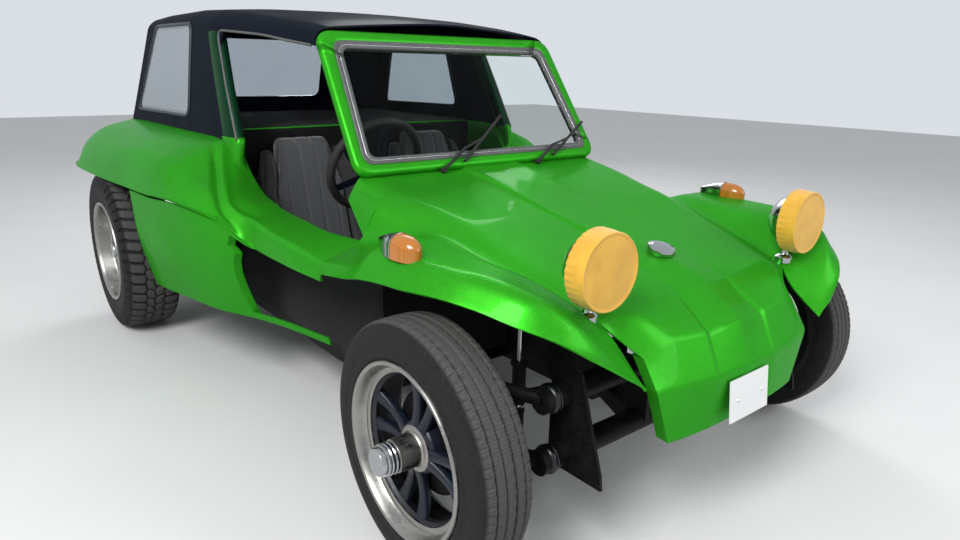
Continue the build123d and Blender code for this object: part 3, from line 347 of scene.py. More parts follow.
def build_finishes():
    """Every finish, by the record's slot or by the piece that it is for."""
    look = bpy.context.scene.buggy_look
    green = tuple(look.body_colour)
    return {
        "green_body": flake_paint("green gel coat", green, darker(green, 0.55), (0.32, 0.75, 0.12)),
        # The hardtop's blue tint is a painted reflection of the sky on its black coat.
        "black_body": clouded(
            "hardtop gel coat, painted sky tint", (6.0, 3.0), (0.004, 0.006, 0.010), (0.010, 0.013, 0.020), (0.2, 0.28),
            (0.001, 0.2),
            fine=(14.0, 1.5), Specular_IOR_Level=0.0, Coat_Weight=0.09, Coat_Roughness=0.14, Coat_IOR=1.35,
        ),
        "chassis_black": black_enamel(),
        "clear_glass": pane(
            "clear glazing", 7.0, (0.90, 0.95, 0.93), (0.84, 0.90, 0.88), (0.4, 0.8, 0.0, 0.03), 1.0, 1.1,
            0.9,
        ),
        "seal_rubber": clouded(
            "screen seal rubber", (60.0, 4.0), (0.028, 0.028, 0.03), (0.11, 0.11, 0.11), 0.55, (0.0004, 0.4),
        ),
        "trim_black": matt_trim(),
        "seat_cloth": woven_seat(),
        "chrome": bright_metal("chrome plate", (0.78, 0.79, 0.80), 0.07),
        "polished_alloy": bright_metal("polished alloy", (0.33, 0.32, 0.30), 0.34, 0.4),
        "yellow_cloth": cover_cloth(),
        "amber_lens": lens("amber lens", (0.37, 0.125, 0.007)),
        "red_lens": lens("red lens", (0.42, 0.006, 0.004)),
        "white_plate": plate_white(),
        "hazed_pane": pane(
            "hazed pane", 5.0, (0.62, 0.68, 0.74), (0.74, 0.79, 0.84), (0.3, 0.7, 0.02, 0.08), 0.74, 1.12,
            0.8,
        ),
        "engine_alloy": cast_alloy(),
        "exhaust_steel": clouded(
            "exhaust steel", (16.0, 5.0), (0.17, 0.165, 0.16), (0.085, 0.052, 0.034), (0.35, 0.65),
            (0.0008, 0.5),
            share=(0.4, 0.65), Metallic=0.8,
        ),
        "wheel_grip": matt_trim(),
        "tyre_rubber": tyre_rubber(),
        "front_tread": tyre_rubber("front tyre", FRONT_AXLE, FRONT_RADIUS),
        "rear_tread": tyre_rubber("rear tyre", REAR_AXLE, REAR_RADIUS),
        "carpet": clouded(
            "cabin carpet", (700.0, 3.0), (0.004, 0.004, 0.005), (0.017, 0.017, 0.018), 0.95, (0.0018, 0.9),
            share=(0.35, 0.7), Sheen_Weight=0.06, Specular_IOR_Level=0.05,
        ),
        "oiled_steel": bright_metal("oiled steel", (0.045, 0.045, 0.047), 0.3),
        # The spokes' blue tint is a painted reflection of the sky on their dark paint.
        "spoke_paint": clouded(
            "spoke enamel, painted sky tint", (60.0, 4.0), (0.003, 0.005, 0.010), (0.008, 0.011, 0.020), (0.3, 0.46),
            (0.0003, 0.3),
            Specular_IOR_Level=0.35,
        ),
        # The dish is coloured near-black as painted shade for the recess behind the spokes.
        "barrel_alloy": bright_metal("barrel darkened for painted shade", (0.05, 0.052, 0.058), 0.4, 0.3),
        # The plating is dimmed as painted dark reflections: it stands in for the darker surroundings that the
        # bright metal reflects.
        "worn_plate": bright_metal("plating dimmed for painted dark reflections", (0.42, 0.43, 0.44), 0.16),
        "seat_side": side_cloth(),
        "window_frame": clouded(
            "window frame", (40.0, 3.0), (0.010, 0.014, 0.022), (0.022, 0.029, 0.042), (0.34, 0.46),
            (0.0003, 0.3),
            Specular_IOR_Level=0.3,
        ),
        "seal_bead": bright_metal("seal bead", (0.42, 0.43, 0.44), 0.3),
        # The pillar's green is painted sunlight: the hardtop's dark flake coat coloured as if lit by the sun,
        # while the rest of the hardtop keeps its shaded dark colour.
        "pillar_green": flake_paint(
            "pillar gel coat, painted sunlight", (0.006, 0.05, 0.022), (0.002, 0.012, 0.008), (0.05, 0.2, 0.08),
        ),
    }


FINISH = {}
NODE_FINISH = {"cabin_trim": "carpet", "hardtop_windows": "hazed_pane"}


# ---------------------------------------------------------------- surfaces


def make_piece(name, points, faces, finish, body="chassis", slot=None, sharp=None):
    """One mesh piece from arrays of points and faces, riding on a body."""
    mesh = bpy.data.meshes.new(name)
    mesh.from_pydata(np.asarray(points, float).reshape(-1, 3).tolist(), [], [list(f) for f in faces])
    mesh.validate()
    mesh.update()
    mesh.polygons.foreach_set("use_smooth", np.full(len(mesh.polygons), True))
    if sharp:
        mesh.set_sharp_from_angle(angle=radians(sharp))
    thing = bpy.data.objects.new(name, mesh)
    bpy.context.scene.collection.objects.link(thing)
    mesh.materials.append(FINISH[finish])
    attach(thing, body)
    slot or finish in SLOTS
    return thing


def grid_faces(rows, columns, wrap_rows, wrap_columns, flip, start):
    """Quads of a grid of points stored row by row, closed round either way where asked."""
    r = np.arange(rows if wrap_rows else rows - 1)
    c = np.arange(columns if wrap_columns else columns - 1)
    rr, cc = np.meshgrid(r, c, indexing="ij")
    r2, c2 = (rr + 1) % rows, (cc + 1) % columns
    quads = np.stack([rr * columns + cc, rr * columns + c2, r2 * columns + c2, r2 * columns + cc], -1)
    quads = quads.reshape(-1, 4) + start
    return quads[:, ::-1] if flip else quads


def join_grids(grids):
    """Points and faces of several grids given as (points, flip, wrap_rows, wrap_columns)."""
    points, faces, start = [], [], 0
    for grid, flip, wrap_r, wrap_c in grids:
        rows, columns = grid.shape[:2]
        points.append(grid.reshape(-1, 3))
        faces.append(grid_faces(rows, columns, wrap_r, wrap_c, flip, start))
        start += rows * columns
    return np.concatenate(points), np.concatenate(faces)


def step_between(value, low, high):
    """Smooth step from 0 at low to 1 at high."""
    t = np.clip((value - low) / (high - low), 0, 1)
    return t * t * (3 - 2 * t)


def bell(value, middle, width, power=2):
    """A bell curve, 1 at its middle; a higher power gives it a flatter top."""
    return np.exp(-(((value - middle) / width) ** power))


def smooth_slopes(t, v):
    """Slopes at stations t of values v, limited so that a curve never overshoots (weighted harmonic mean)."""
    h = np.diff(t)[(...,) + (None,) * (v.ndim - 1)]
    d = np.diff(v, axis=0) / h
    m = np.zeros_like(v)
    w1, w2 = 2 * h[1:] + h[:-1], h[1:] + 2 * h[:-1]
    same = d[:-1] * d[1:] > 1e-12
    safe0, safe1 = np.where(same, d[:-1], 1.0), np.where(same, d[1:], 1.0)
    m[1:-1] = np.where(same, (w1 + w2) / (w1 / safe0 + w2 / safe1), 0.0)
    m[0], m[-1] = d[0], d[-1]
    return m


def through(t, v, new_t):
    """Cubic Hermite curve through values v at stations t, read at new_t."""
    m = smooth_slopes(t, v)
    k = np.clip(np.searchsorted(t, new_t, side="right") - 1, 0, len(t) - 2)
    spread = (...,) + (None,) * (v.ndim - 1)
    h = t[k + 1] - t[k]
    s, h = ((new_t - t[k]) / h)[spread], h[spread]
    a, b = 2 * s**3 - 3 * s**2 + 1, s**3 - 2 * s**2 + s
    c, d = -2 * s**3 + 3 * s**2, s**3 - s**2
    return a * v[k] + b * h * m[k] + c * v[k + 1] + d * h * m[k + 1]


ARC, RUN = 7, 6
BLOCK = ARC + RUN


def soften(outline, shares, steps=ARC, runs=RUN):
    """Outlines (..., k, dims) with each inner corner turned into a parabola arc.

    An arc starts and ends at a share of the shorter run from its corner, and each
    straight run between two arcs is divided evenly."""
    before = outline[..., 1:-1, :] - outline[..., :-2, :]
    after = outline[..., 2:, :] - outline[..., 1:-1, :]
    lb, la = np.linalg.norm(before, axis=-1), np.linalg.norm(after, axis=-1)
    cut = np.asarray(shares) * np.minimum(lb, la)
    enter = outline[..., 1:-1, :] - before * (cut / lb)[..., None]
    leave = outline[..., 1:-1, :] + after * (cut / la)[..., None]
    corner = outline[..., 1:-1, :]
    out = []
    u = np.linspace(0, 1, steps)[:, None]
    v = np.linspace(0, 1, runs + 1)[:-1, None]
    last = outline[..., 0, :]
    for k in range(outline.shape[-2] - 2):
        e, c, l = (a[..., k, :][..., None, :] for a in (enter, corner, leave))
        out.append(last[..., None, :] * (1 - v) + e * v)
        out.append((1 - u) ** 2 * e + 2 * u * (1 - u) * c + u**2 * l)
        last = leave[..., k, :]
    v = np.linspace(0, 1, runs + 1)[:, None][1:]
    out.append(last[..., None, :] * (1 - v) + outline[..., -1, :][..., None, :] * v)
    return np.concatenate(out, axis=-2)


EDGE_ANGLE = radians(35)


def thicken(thing, depth, bevel=0.0):
    """A wall under a skin, and a small rounding of its edges."""
    wall = thing.modifiers.new("wall", "SOLIDIFY")
    wall.thickness = depth
    wall.offset = -1.0
    wall.use_even_offset = True
    wall.use_quality_normals = True
    if bevel:
        edge = thing.modifiers.new("edge", "BEVEL")
        edge.width = bevel
        edge.segments = 3
        edge.limit_method = "ANGLE"
        edge.angle_limit = EDGE_ANGLE


WELD = 0.0002


def merge_points(thing, closed=False):
    """Welds points that lie together; on a closed shape it also turns the faces outwards."""
    work = bmesh.new()
    work.from_mesh(thing.data)
    bmesh.ops.remove_doubles(work, verts=work.verts, dist=WELD)
    if closed:
        bmesh.ops.recalc_face_normals(work, faces=work.faces)
    work.to_mesh(thing.data)
    work.free()


def lengths(points):
    """How far along a line each of its points lies."""
    return np.append(0, np.cumsum(np.linalg.norm(np.diff(points, axis=0), axis=1)))


def closed_ends(grid):
    """A grid of closed rings with its first and last ring drawn in to a point."""
    first = np.broadcast_to(grid[:1].mean(1, keepdims=True), grid[:1].shape)
    last = np.broadcast_to(grid[-1:].mean(1, keepdims=True), grid[-1:].shape)
    return np.concatenate([first, grid, last])


def solid_piece(name, grids, finish, body="chassis", slot=None, sharp=None):
    """A closed piece from grids of rings, welded and turned outwards."""
    rings = [(grid, False, wrap_rows, True) for grid, wrap_rows in grids]
    made = make_piece(name, *join_grids(rings), finish, body, slot=slot)
    merge_points(made, closed=True)
    if sharp:
        made.data.set_sharp_from_angle(angle=radians(sharp))
    return made


def carried(path, normal, section):
    """A section carried along a path: at each point it stands across the path, its first
    number along the given normal and its second along the path's side."""
    path, normal = np.asarray(path, float), np.asarray(normal, float)
    tangent = np.gradient(path, axis=0)
    tangent /= np.linalg.norm(tangent, axis=1)[:, None]
    normal = normal - tangent * (tangent * normal).sum(1)[:, None]
    normal /= np.linalg.norm(normal, axis=1)[:, None]
    across = np.cross(tangent, normal)
    section = np.asarray(section, float)
    if section.ndim == 2:
        section = section[None]
    return path[:, None] + section[..., :1] * normal[:, None] + section[..., 1:] * across[:, None]


def circle(count):
    """Evenly spaced angles once round."""
    return np.linspace(0, 2 * pi, count, endpoint=False)


def round_section(radius):
    """Twelve points of a circle."""
    a = circle(12)
    return np.stack([radius * np.cos(a), radius * np.sin(a)], -1)


def placed(local, origin, u, v, n):
    """Points given in a plane's own axes, as places on the car."""
    return local @ np.array([u, v, n], float) + np.asarray(origin, float)


def spun(profile, steps, centre, axis="Y"):
    """A ring of points: a profile of (radius, offset) turned about a line through centre."""
    profile = np.asarray(profile, float)
    a = circle(steps)[:, None]
    r, o = profile[:, 0][None], profile[:, 1][None]
    c, s, o = r * np.cos(a), r * np.sin(a), o + 0 * a
    parts = {"Y": (s, o, c), "X": (o, s, c), "Z": (c, s, o)}[axis]
    return np.stack(parts, -1) + np.asarray(centre, float)


# ---------------------------------------------------------------- front moulding

# Columns, mm: distance ahead of the front axle, height on the centre line, then y and z
# of the panel's edge, the shoulder, the valley, the wing's foot, its crown and its edge.
BONNET = np.array([
    (-480, 776, 112, 774, 452, 773, 518, 738, 562, 648, 686, 608, 692, 576),
    (-310, 739, 104, 736, 422, 742, 490, 700, 545, 676, 678, 642, 709, 612),
    (-235, 722, 101, 719, 410, 728, 472, 692, 535, 704, 666, 703, 717, 630),
    (-90, 688, 92, 686, 396, 684, 454, 664, 528, 698, 662, 704, 717, 648),
    (60, 657, 90, 650, 368, 645, 426, 626, 500, 690, 638, 705, 692, 656),
    (135, 641, 100, 627, 350, 626, 410, 604, 464, 660, 610, 700, 664, 648),
    (210, 612, 112, 600, 330, 606, 388, 582, 426, 614, 582, 683, 630, 630),
], float)
SCUTTLE = (-640, 808, 118, 806, 474, 799, 500, 760, 506, 750, 511, 741, 515, 733)
SCUTTLE_REAR = (-480, 776, 112, 774, 452, 773, 518, 738, 540, 700, 550, 670, 556, 653)
# Height of the panel's edge above its foot at each station
PANEL_STEP = np.array([4.5, 4.5, 4.5, 4.0, 3.5, 2.5, 0.0, -1.0, -3.0]) * MM
PANEL_HALF_STEP = 7 * MM
# Nose rows, mm: x ahead, y and z of the centre, panel's edge, top corner and flank corner
NOSE = np.array([
    ((326, 0, 538), (318, 120, 530), (306, 260, 540), (295, 322, 511)),
    ((366, 0, 429), (362, 120, 433), (350, 250, 440), (339, 321, 444)),
    ((357, 0, 306), (355, 120, 306), (347, 220, 306), (341, 268, 308)),
], float)
NOSE_TOP_ROW = (250, 587, 112, 574, 305, 590, 350, 545)
# Wing tip rows, mm: x ahead, then y and z of the inner edge, foot, crown and outer edge
WING_TIP = [
    (270, 368, 532, 396, 553, 532, 638, 582, 608),
    (330, 372, 484, 392, 503, 452, 537, 500, 560),
    (348, 372, 472, 384, 485, 404, 499, 425, 512),
]
# Columns kept of a softened outline: up to the middle of the valley, and from there on
VALLEY = RUN + ARC // 2
TOP_COLUMNS = 3 * BLOCK + VALLEY + 1
TOP_SHARES, WING_SHARES = (0.3, 0.3, 0.42, 0.45), (0.45, 0.42, 0.42)
OVERRUN = 0.3


def stations(rows):
    """Outline points (row, column, xyz) in metres from table rows without a centre height."""
    rows = np.asarray(rows, float)
    flat = rows[:, 1:].reshape(len(rows), -1, 2)
    x = np.broadcast_to(rows[:, :1, None], (len(rows), flat.shape[1], 1))
    return np.concatenate([x, flat], -1) * MM + (FRONT_AXLE, 0, 0)


def mirror(points):
    """The same points on the car's other side."""
    return points * (1, -1, 1)


def run_on(points):
    """Outlines with one more point, a share of the last run beyond their end."""
    return np.concatenate([points, points[:, -1:] + (points[:, -1:] - points[:, -2:-1]) * OVERRUN], 1)


def with_panel(points, step):
    """Outlines with the panel's edge (column 1) split into a top and a foot point."""
    edge = points[:, 1:2]
    step = np.broadcast_to(np.asarray(step)[..., None, None], edge.shape[:2] + (1,))
    zero = np.zeros_like(step)
    inner = edge + np.concatenate([zero, zero - PANEL_HALF_STEP, step], -1)
    outer = edge + np.concatenate([zero, zero + PANEL_HALF_STEP, -step], -1)
    return np.concatenate([points[:, :1], inner, outer, points[:, 2:]], 1)


# Where the front moulding's parts meet, mm ahead of the front axle: the scuttle's back end, the
# wing's back end, the last full row, the nose's top edge and the wing's tip
BACK_END, WING_BACK, LAST_ROW, NOSE_EDGE, TIP_END = -640, -480, 210, 310, 348


def front_moulding_skin():
    """Bonnet, wings and nose: softened outlines carried along the car on Hermite curves. The
    wings start at the bonnet's valley and the nose's face hangs from its top edge."""
    table = np.vstack([SCUTTLE, BONNET])
    table[1, 0] = WING_BACK - 1
    whole = stations(np.delete(table, 1, 1))
    centre = np.stack([table[:, 0] * MM + FRONT_AXLE, 0 * table[:, 0], table[:, 1] * MM], -1)[:, None]
    top = np.concatenate([centre, whole], 1)[:, :5]
    near = NOSE_TOP_ROW
    extra = stations([(near[0], *near[2:])])
    extra = np.concatenate([np.array([[[near[0] * MM + FRONT_AXLE, 0, near[1] * MM]]]), extra], 1)
    crease = NOSE[:1] * MM + (FRONT_AXLE, 0, 0)
    tail = run_on(np.concatenate([extra, crease]))
    top = with_panel(np.concatenate([top, tail]), np.append(PANEL_STEP, [-3.5 * MM]))
    at = np.append(table[:, 0], [near[0], float(NOSE_EDGE)])
    cols = soften(top, TOP_SHARES)[:, :TOP_COLUMNS]
    new = np.unique(np.append(np.arange(BACK_END, NOSE_EDGE, 10.0), [WING_BACK, LAST_ROW, NOSE_EDGE]))
    beside = (new >= WING_BACK) & (new <= LAST_ROW)
    upper = through(at, cols, new)
    valley = upper[:, -1]

    side = whole[1:, 1:]
    tips = stations(WING_TIP)
    tips = run_on(tips[:, ::-1])[:, ::-1]
    wing = np.concatenate([side, tips])
    at_wing = np.append(BONNET[:, 0], [row[0] for row in WING_TIP])
    cols = soften(wing, WING_SHARES)[:, VALLEY:]
    forward = np.arange(LAST_ROW, TIP_END + 1, 8.0)
    new_wing = np.unique(np.concatenate([new[beside], forward, [TIP_END]]))
    lower = through(at_wing, cols, new_wing)
    lower[new_wing <= LAST_ROW, 0] = valley[beside]

    cowl = np.array([SCUTTLE, SCUTTLE_REAR], float)
    cowl = stations(np.delete(cowl, 1, 1))[:, 1:]
    cols = soften(cowl, WING_SHARES)[:, VALLEY:]
    scuttle = through(cowl[:, 0, 0], cols, new[new <= WING_BACK] * MM + FRONT_AXLE)
    scuttle[:, 0] = valley[new <= WING_BACK]

    front = run_on(NOSE) * MM + (FRONT_AXLE, 0, 0)
    front = with_panel(front, np.array([-3.5, -2.0, 0.0]) * MM * (1, 0, 0))
    cols = soften(front, TOP_SHARES)[:, :TOP_COLUMNS]
    cols[0] = upper[-1]
    share = np.linspace(0, 2, 31)[:, None, None]
    face = np.where(
        share < 1, cols[0] + (cols[1] - cols[0]) * share, cols[1] + (cols[2] - cols[1]) * (share - 1)
    )
    for _ in range(2):
        face[1:-1] = 0.25 * face[:-2] + 0.5 * face[1:-1] + 0.25 * face[2:]
    depth = np.linspace(0, 1, 6)[None, :, None]
    flank = face[:, -1][:, None] + depth * np.array([-0.034, -0.004, 0.0])

    def across(half):
        return np.concatenate([half[:, ::-1], mirror(half[:, 1:])], 1)

    grids = [(across(upper), False, False, False), (across(face), False, False, False)]
    for part, flip in ((lower, True), (scuttle, True), (flank, True)):
        grids.append((part, flip, False, False))
        grids.append((mirror(part), not flip, False, False))
    points, faces = join_grids(grids)
    skin = make_piece("front_body_skin", points, faces, "green_body")
    merge_points(skin)
    thicken(skin, 0.006, 0.003)
    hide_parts("front_moulding")


# ---------------------------------------------------------------- windscreen

SCREEN_FOOT = np.array([FRONT_AXLE - 0.622, 0, 0.812])
SCREEN_LEAN = radians(34)
SCREEN_UP = np.array([-sin(SCREEN_LEAN), 0, cos(SCREEN_LEAN)])
SCREEN_OUT = np.array([cos(SCREEN_LEAN), 0, sin(SCREEN_LEAN)])
SCREEN_OUTER = (500, 478, -18, 474, 44)
SCREEN_OPENING = (465, 433, 17, 433, 30)
GLASS_EDGE = (438, 408, 39, 409, 22)


def round_corners(line, corner, run):
    """A closed outline of straight runs, starting in the middle of one, with round corners:
    each arc starts at 1.25 radii from its corner."""
    runs = np.linalg.norm(np.diff(line, axis=0), axis=1)
    shares = 1.25 * corner / np.minimum(runs[:-1], runs[1:])
    return soften(line, shares, 9, run)[:-1]


def rounded_screen(row):
    """Closed outline of a tapering panel with round corners, on the screen's plane, in mm."""
    low, high, foot, top, corner = row
    quad = np.array([(0, foot), (low, foot), (high, top), (-high, top), (-low, foot), (0, foot)], float)
    return round_corners(quad, corner, 14)


def on_screen(flat, out):
    """Points on the screen's plane, and out mm in front of it, as places on the car."""
    flat = np.asarray(flat, float)
    out = np.asarray(out, float)[..., None]
    return SCREEN_FOOT + (flat[..., :1] * (0, 1, 0) + flat[..., 1:] * SCREEN_UP + out * SCREEN_OUT) * MM


def screen_ring(name, inner, outer, section, finish):
    """A closed bar between two outlines; its section is a list of (share across, height)."""
    a, b = rounded_screen(inner)[None], rounded_screen(outer)[None]
    s = np.array(section, float)
    flat = a + (b - a) * s[:, 0][:, None, None]
    ring = on_screen(flat, np.broadcast_to(s[:, 1][:, None], flat.shape[:2]))
    return make_piece(name, *join_grids([(ring, False, True, True)]), finish)


def screen_pieces():
    """Surround, and the rubber seal with its bright bead."""
    bar = [
        (0, -13), (0, 6), (0.03, 10), (0.1, 12.5), (0.3, 14.5), (0.6, 15), (0.85, 12.5), (0.96, 7), (1, 0),
        (1, -9), (0.95, -13)
    ]
    surround = screen_ring("screen_surround", SCREEN_OPENING, SCREEN_OUTER, bar, "green_body")
    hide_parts("front_moulding")
    lips = [
        (0, 3), (0.0, 8), (0.1, 11), (0.3, 12.5), (0.42, 10.2), (0.5, 10), (0.58, 10.2), (0.72, 13.5),
        (0.92, 14.5), (1.1, 13), (1.16, 9), (1.0, 4), (1.0, -8), (0, -8)
    ]
    seal = screen_ring("screen_seal", GLASS_EDGE, SCREEN_OPENING, lips, "seal_rubber")
    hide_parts("windscreen_seal")
    bead = [(0.44, 10), (0.44, 10.9), (0.5, 11.4), (0.56, 10.9), (0.56, 10)]
    screen_ring("screen_seal_bead", GLASS_EDGE, SCREEN_OPENING, bead, "seal_bead")


# ---------------------------------------------------------------- rear tub

# Columns, mm: distance behind the front axle, then y and z of the inner edge, the bead,
# the crest, the waist and the lip.
TUB = np.array([
    (483, 562, 648, 640, 620, 686, 604, 690, 580, 692, 556),
    (664, 580, 645, 650, 634, 698, 624, 703, 592, 704, 557),
    (800, 580, 651, 650, 640, 700, 628, 705, 594, 704, 556),
    (880, 580, 654, 650, 644, 700, 636, 707, 600, 704, 558),
    (950, 580, 659, 648, 652, 698, 644, 722, 628, 742, 606),
    (1000, 580, 668, 646, 671, 696, 664, 746, 652, 784, 638),
    (1085, 580, 684, 640, 700, 692, 706, 764, 704, 832, 666),
    (1213, 580, 756, 628, 768, 690, 766, 806, 742, 864, 678),
    (1310, 580, 862, 632, 850, 705, 824, 824, 776, 872, 674),
    (1400, 592, 866, 645, 856, 730, 832, 838, 784, 878, 668),
    (1640, 596, 864, 652, 858, 758, 834, 852, 786, 884, 660),
    (2050, 596, 864, 660, 858, 770, 830, 868, 768, 898, 648),
    (2300, 596, 862, 660, 854, 775, 828, 868, 762, 902, 644),
    (2430, 596, 858, 660, 848, 780, 820, 864, 752, 902, 642),
    (2490, 596, 845, 655, 832, 765, 802, 852, 738, 900, 641),
    (2520, 596, 815, 640, 802, 735, 772, 826, 712, 894, 650),
], float)
LIP_TURN = np.array([0, -8, 1.5]) * MM
# Line where the wing meets the pillar's band, mm: distance behind the front axle and y
BAND_LINE = np.array([
    (1330, 640), (1260, 668), (1190, 692), (1110, 718), (1030, 737), (975, 726), (925, 708), (850, 700),
], float)
BAND_POINTS = 120
DECK_START = 1500.0


def with_band(points):
    """Lifts the pillar's band and sinks a valley beside it: each point moves up or down by two
    bell curves of its distance from the band's line, dying away at the line's ends."""
    line = through(np.arange(len(BAND_LINE)), BAND_LINE, np.linspace(0, len(BAND_LINE) - 1, BAND_POINTS)) * MM
    line[:, 0] = FRONT_AXLE - line[:, 0]
    along = np.gradient(line, axis=0)
    along /= np.linalg.norm(along, axis=1)[:, None]
    gap = points[..., None, :2] - line
    nearest = np.linalg.norm(gap, axis=-1).argmin(-1)
    gap = np.take_along_axis(gap, nearest[..., None, None], -2)[..., 0, :]
    t = along[nearest]
    side = gap[..., 0] * t[..., 1] - gap[..., 1] * t[..., 0]
    fade = np.minimum(step_between(nearest, 0, 22), step_between(nearest, BAND_POINTS - 1, 95))
    fade = fade * bell(np.abs((gap * t).sum(-1)), 0, 0.02)
    lift = 0.007 * bell(side, 0.012, 0.015) - 0.011 * bell(side, -0.010, 0.013)
    moved = points.copy()
    moved[..., 2] += lift * fade
    return moved


def rear_tub_skin():
    """Sills, wings and deck: softened outlines on Hermite curves, closed by the tail panel."""
    pts = stations(TUB)
    pts[..., 0] = 2 * FRONT_AXLE - pts[..., 0]
    pts = np.concatenate([pts, pts[:, -1:] + LIP_TURN], 1)
    cols = soften(pts, [0.3, 0.42, 0.42, 0.25])
    new = np.unique(np.concatenate([
        np.arange(483, 2520, 12.0), np.arange(846, 1344, 6.0), [DECK_START, 2520.0]
    ]))
    left = with_band(through(TUB[:, 0], cols, new))
    deck_rows = left[new >= DECK_START]
    s = np.linspace(1, -1, 41)[None, :, None]
    deck = deck_rows[:, :1] * np.concatenate([np.ones_like(s), s, np.ones_like(s)], -1)
    deck[..., 2] += 0.004 * (1 - s[..., 0] ** 2)
    last = np.concatenate([left[-1][::-1], deck[-1][1:-1], mirror(left[-1])])
    low = last.copy()
    y = np.abs(last[:, 1])
    low[:, 2] = 0.650 + 0.125 * np.clip((0.46 - y) / 0.05, 0, 1)
    low[:, 2] = np.minimum(low[:, 2], last[:, 2] - 0.001)
    drop = np.linspace(0, 1, 10)[:, None, None]
    tail = last[None] * (1 - drop) + low[None] * drop
    tail[..., 0] -= 0.012 * np.sin(drop[..., 0] * pi / 2)
    grids = [
        (left, False, False, False), (mirror(left), True, False, False),
        (deck, True, False, False), (tail, True, False, False),
    ]
    skin = make_piece("rear_body_skin", *join_grids(grids), "green_body")
    merge_points(skin)
    thicken(skin, 0.005, 0.0025)
    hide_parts("rear_tub")


# ---------------------------------------------------------------- side pods and cabin floor behind

# Columns, mm: distance behind the front axle, then y and z of the top, the bulge and the foot
POD = np.array([
    (670, 640, 556, 612, 430, 575, 283),
    (885, 700, 556, 668, 430, 620, 283),
    (1000, 776, 632, 735, 470, 655, 283),
    (1200, 852, 668, 800, 480, 735, 283),
    (1400, 871, 658, 850, 480, 780, 283),
    (1640, 876, 650, 868, 480, 820, 283),
    (1655, 845, 643, 835, 480, 790, 290),
], float)
POD_BACK = 1655
# The pod's front edge, mm: z, then distance behind the front axle
POD_FRONT = np.array([
    (300, 1031), (307, 1030), (380, 1024), (455, 1010), (500, 994), (541, 970), (553, 900), (570, 886),
    (640, 885),
], float)
STRIP_FOOT, STRIP_TOP = 283, 307


def pod_piece(word, side):
    """Bulging panel: softened outlines on Hermite curves, started at its curved front edge,
    with the flange that turns in there and the strip along its foot."""
    rows = POD[:, 1:].reshape(len(POD), 3, 2)
    cols = soften(rows, [0.42], 15, 10)
    share = np.linspace(0, 1, 60)
    count = cols.shape[1]
    front = np.full(count, 1000.0)
    for _ in range(4):
        z = np.array([through(POD[:, 0], cols[:, k, 1], front[k:k + 1])[0] for k in range(count)])
        front = np.interp(z, POD_FRONT[:, 0], POD_FRONT[:, 1])
    back = front[None] + (POD_BACK - front[None]) * share[:, None]
    panel = np.stack([through(POD[:, 0], cols[:, k], back[:, k]) for k in range(count)], 1)

    def on_car(back_mm, flat):
        return np.stack([FRONT_AXLE - back_mm * MM, side * flat[..., 0] * MM, flat[..., 1] * MM], -1)

    skin = on_car(back, panel)
    depth = np.linspace(0, 1, 5)[:, None, None]
    edge = skin[0][None]
    flange = edge + depth * np.array([0.004, -side * 0.025, 0.0])
    strip_x = np.linspace(672, 1040, 30)[:, None]
    low = through(POD[:, 0], rows[:, 1:], strip_x[:, 0])
    z = np.linspace(STRIP_FOOT, STRIP_TOP, 5)[None]
    t = (z - low[:, 1, 1][:, None]) / (low[:, 0, 1] - low[:, 1, 1])[:, None]
    y = low[:, 1, 0][:, None] + t * (low[:, 0, 0] - low[:, 1, 0])[:, None]
    strip = on_car(strip_x + 0 * z, np.stack([y, z + 0 * y], -1))
    grids = [
        (skin, side < 0, False, False), (flange, side > 0, False, False), (strip, side > 0, False, False)
    ]
    made = make_piece(f"side_pod_{word}", *join_grids(grids), "green_body")
    merge_points(made)
    thicken(made, 0.005, 0.0025)
    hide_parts("side_pods")


CARPET_HALF = 0.572


def deck_carpet():
    """Carpet over the deck inside the hardtop and down its front edge: one bent sheet."""
    run = np.array([
        (-0.297, 0.600), (-0.297, 0.860), (-0.301, 0.868), (-0.312, 0.871), (-0.600, 0.8735),
        (-1.160, 0.8735),
    ])
    length = lengths(run)
    at = np.linspace(0, length[-1], 70)
    x, z = (np.interp(at, length, run[:, k])[:, None] for k in (0, 1))
    y = np.linspace(-CARPET_HALF, CARPET_HALF, 40)[None]
    half = np.where(z < 0.80, CARPET_HALF, 0.590)
    sheet = np.stack([x + 0 * y, y / CARPET_HALF * half, z + 0 * y], -1)
    made = make_piece("deck_carpet", *join_grids([(sheet, False, False, False)]), "carpet", slot="trim_black")
    thicken(made, 0.003)


# ---------------------------------------------------------------- wheels

# Columns: name, side, axle x, half track, tyre radius, half width of the tyre, half width
# of the rim, offset of the spokes' face and the cap's reach, all in metres
WHEELS = [
    (f"{end}_{word}", side, *sizes)
    for end, *sizes in (
        ("front", FRONT_AXLE, 0.69, FRONT_RADIUS, 0.066, 0.070, 0.030, 0.128),
        ("rear", REAR_AXLE, 0.80, REAR_RADIUS, 0.106, 0.105, 0.030, 0.082),
    )
    for word, side in SIDES
]
BEAD_RADIUS = 0.2075  # where the tyre leaves the rim


def tyre_section(radius, half, rim_half, count):
    """Half a tyre's section from the bead to the crown, as (radius, offset), evenly spaced."""
    lip, h = BEAD_RADIUS, radius - BEAD_RADIUS
    knots = np.array([
        (0.2045, rim_half - 0.0112), (lip, rim_half - 0.0085), (lip + 0.1 * h, rim_half - 0.003),
        (lip + 0.3 * h, half * 0.985), (lip + 0.45 * h, half), (lip + 0.62 * h, half * 0.985),
        (lip + 0.8 * h, half * 0.93), (lip + 0.905 * h, half * 0.86), (lip + 0.965 * h, half * 0.74),
        (lip + 0.99 * h, half * 0.5), (radius, 0.0),
    ])
    length = lengths(knots)
    return through(length, knots, np.linspace(0, length[-1], count))


